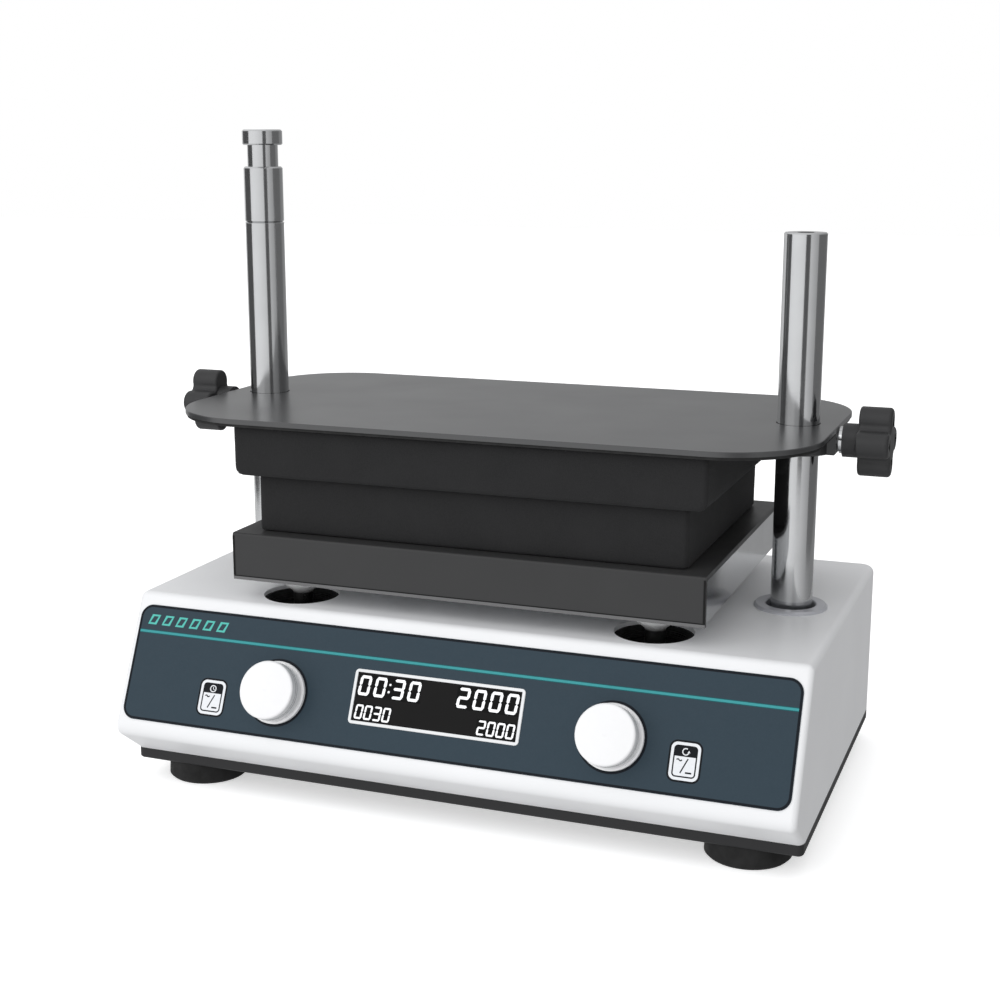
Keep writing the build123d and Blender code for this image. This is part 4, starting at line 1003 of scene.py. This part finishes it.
# ---- stage ---------------------------------------------------------------------------------------
FLOOR_REACH = 6
FLOOR_GLOW = 0.52
CARD_HEIGHT = 0.75
KEY_PLACE, KEY_TARGET, KEY_SIZE = (-1.1, -1.9, 1.6), (0, 0, 0.15), 2.0
CAMERA_PLACE = (0.34507, -0.93034, 0.39542)
CAMERA_RIGHT = (0.9356, 0.3531, 0.0)
CAMERA_AHEAD = (-0.3446, 0.9131, -0.2176)


class MIXER_OT_stage(bpy.types.Operator):
    """Set up the floor, the soft lights and the camera"""

    bl_idname = "mixer.stage"
    bl_label = "Studio"

    def execute(self, context):
        settings = context.scene.mixer_stage
        scene = context.scene
        floor_finish = Finish("Pale floor", tuple(settings.floor_colour), 0.6)
        floor_finish.set(floor_finish.shader, "Emission Color", (1, 1, 1, 1))
        floor_finish.set(floor_finish.shader, "Emission Strength", FLOOR_GLOW)
        corners = [(-FLOOR_REACH, -FLOOR_REACH, 0), (FLOOR_REACH, -FLOOR_REACH, 0),
                   (FLOOR_REACH, FLOOR_REACH, 0), (-FLOOR_REACH, FLOOR_REACH, 0)]
        floor = self.card("floor", corners, floor_finish.material)
        floor.visible_diffuse = False
        floor.visible_glossy = False

        grey = Finish("Grey card", (0.2, 0.2, 0.2), 0.9).material
        cards = {
            "card_right": [(0.78, -0.05, 0.0), (0.62, 0.95, 0.0)],
            "card_left": [(-0.95, 0.35, 0.0), (-0.85, -0.45, 0.0)],
            "card_front": [(0.42, -1.02, 0.0), (0.78, -0.78, 0.0)],
        }
        for name, (start, end) in cards.items():
            tall = Vector((0, 0, CARD_HEIGHT))
            points = [Vector(start), Vector(end), Vector(end) + tall, Vector(start) + tall]
            card = self.card(name, points, grey)
            card.visible_camera = False
            card.visible_diffuse = False
            card.visible_shadow = False

        world = bpy.data.worlds.new("Studio")
        scene.world = world
        world.use_nodes = True
        nodes, links = world.node_tree.nodes, world.node_tree.links
        nodes.clear()
        path = nodes.new("ShaderNodeLightPath")
        seen = nodes.new("ShaderNodeBackground")
        seen.inputs["Color"].default_value = (1, 1, 1, 1)
        around = nodes.new("ShaderNodeBackground")
        around.inputs["Color"].default_value = (0.985, 0.99, 1.0, 1)
        direction = nodes.new("ShaderNodeTexCoord")
        slope = nodes.new("ShaderNodeVectorMath")
        slope.operation = "DOT_PRODUCT"
        slope.inputs[1].default_value = settings.room_slope
        links.new(direction.outputs["Generated"], slope.inputs[0])
        level = nodes.new("ShaderNodeMath")
        level.operation = "ADD"
        level.inputs[1].default_value = settings.room_light
        links.new(slope.outputs["Value"], level.inputs[0])
        links.new(level.outputs[0], around.inputs["Strength"])
        mix = nodes.new("ShaderNodeMixShader")
        output = nodes.new("ShaderNodeOutputWorld")
        links.new(path.outputs["Is Camera Ray"], mix.inputs[0])
        links.new(around.outputs[0], mix.inputs[1])
        links.new(seen.outputs[0], mix.inputs[2])
        links.new(mix.outputs[0], output.inputs[0])

        self.lamp("key", KEY_PLACE, KEY_TARGET, KEY_SIZE, settings.key_power)

        data = bpy.data.cameras.new("camera")
        data.lens = settings.lens
        data.sensor_width = 36.0
        data.clip_start, data.clip_end = 0.01, 50.0
        camera = bpy.data.objects.new("camera", data)
        scene.collection.objects.link(camera)
        right = Vector(CAMERA_RIGHT).normalized()
        ahead = Vector(CAMERA_AHEAD).normalized()
        up = right.cross(ahead).normalized()
        turn = Matrix((right, up, -ahead)).transposed().to_4x4()
        roll = Matrix.Rotation(settings.roll, 4, "Z")
        camera.matrix_world = Matrix.Translation(CAMERA_PLACE) @ turn @ roll
        scene.camera = camera
        scene.view_settings.view_transform = "Standard"
        return {"FINISHED"}

    def card(self, name, points, material):
        mesh = bpy.data.meshes.new(name)
        mesh.from_pydata([tuple(p) for p in points], [], [(0, 1, 2, 3)])
        card = bpy.data.objects.new(name, mesh)
        bpy.context.scene.collection.objects.link(card)
        dress(card, material)
        return card

    def lamp(self, name, place, target, size, power):
        data = bpy.data.lights.new(name, "AREA")
        data.size = size
        data.energy = power
        lamp = bpy.data.objects.new(name, data)
        bpy.context.scene.collection.objects.link(lamp)
        lamp.location = place
        aim = Vector(target) - Vector(place)
        lamp.rotation_euler = aim.to_track_quat("-Z", "Y").to_euler()


# ---- panel in the sidebar ------------------------------------------------------------------------
OPERATORS = (
    MIXER_OT_surface_finishes, MIXER_OT_foam, MIXER_OT_panel_print, MIXER_OT_knob_labels,
    MIXER_OT_display, MIXER_OT_tray_edges, MIXER_OT_knob_lines, MIXER_OT_boot_folds, MIXER_OT_stage,
)


class MIXER_PT_looks(bpy.types.Panel):
    """Lists the steps that make the mixer's looks"""

    bl_idname = "MIXER_PT_looks"
    bl_label = "Vortex mixer"
    bl_space_type = "VIEW_3D"
    bl_region_type = "UI"
    bl_category = "Vortex mixer"

    def draw(self, context):
        for operator in OPERATORS:
            self.layout.operator(operator.bl_idname)
        for group in GROUPS:
            settings = getattr(context.scene, group)
            box = self.layout.box()
            for name in settings.__annotations__:
                box.prop(settings, name)


GROUPS = {
    "mixer_print": MixerPrintSettings, "mixer_display": MixerDisplaySettings,
    "mixer_foam": MixerFoamSettings, "mixer_stage": MixerStageSettings,
}


def register():
    for cls in (*GROUPS.values(), *OPERATORS, MIXER_PT_looks):
        bpy.utils.register_class(cls)
    for name, group in GROUPS.items():
        setattr(bpy.types.Scene, name, bpy.props.PointerProperty(type=group))


def unregister():
    for name in GROUPS:
        delattr(bpy.types.Scene, name)
    for cls in reversed((*GROUPS.values(), *OPERATORS, MIXER_PT_looks)):
        bpy.utils.unregister_class(cls)


def main():
    register()
    bpy.ops.mixer.surface_finishes()
    bpy.ops.mixer.foam()
    bpy.ops.mixer.panel_print()
    bpy.ops.mixer.knob_labels()
    bpy.ops.mixer.display()
    bpy.ops.mixer.tray_edges()
    bpy.ops.mixer.knob_lines()
    bpy.ops.mixer.boot_folds()
    bpy.ops.mixer.stage()


if __name__ == "__main__":
    main()
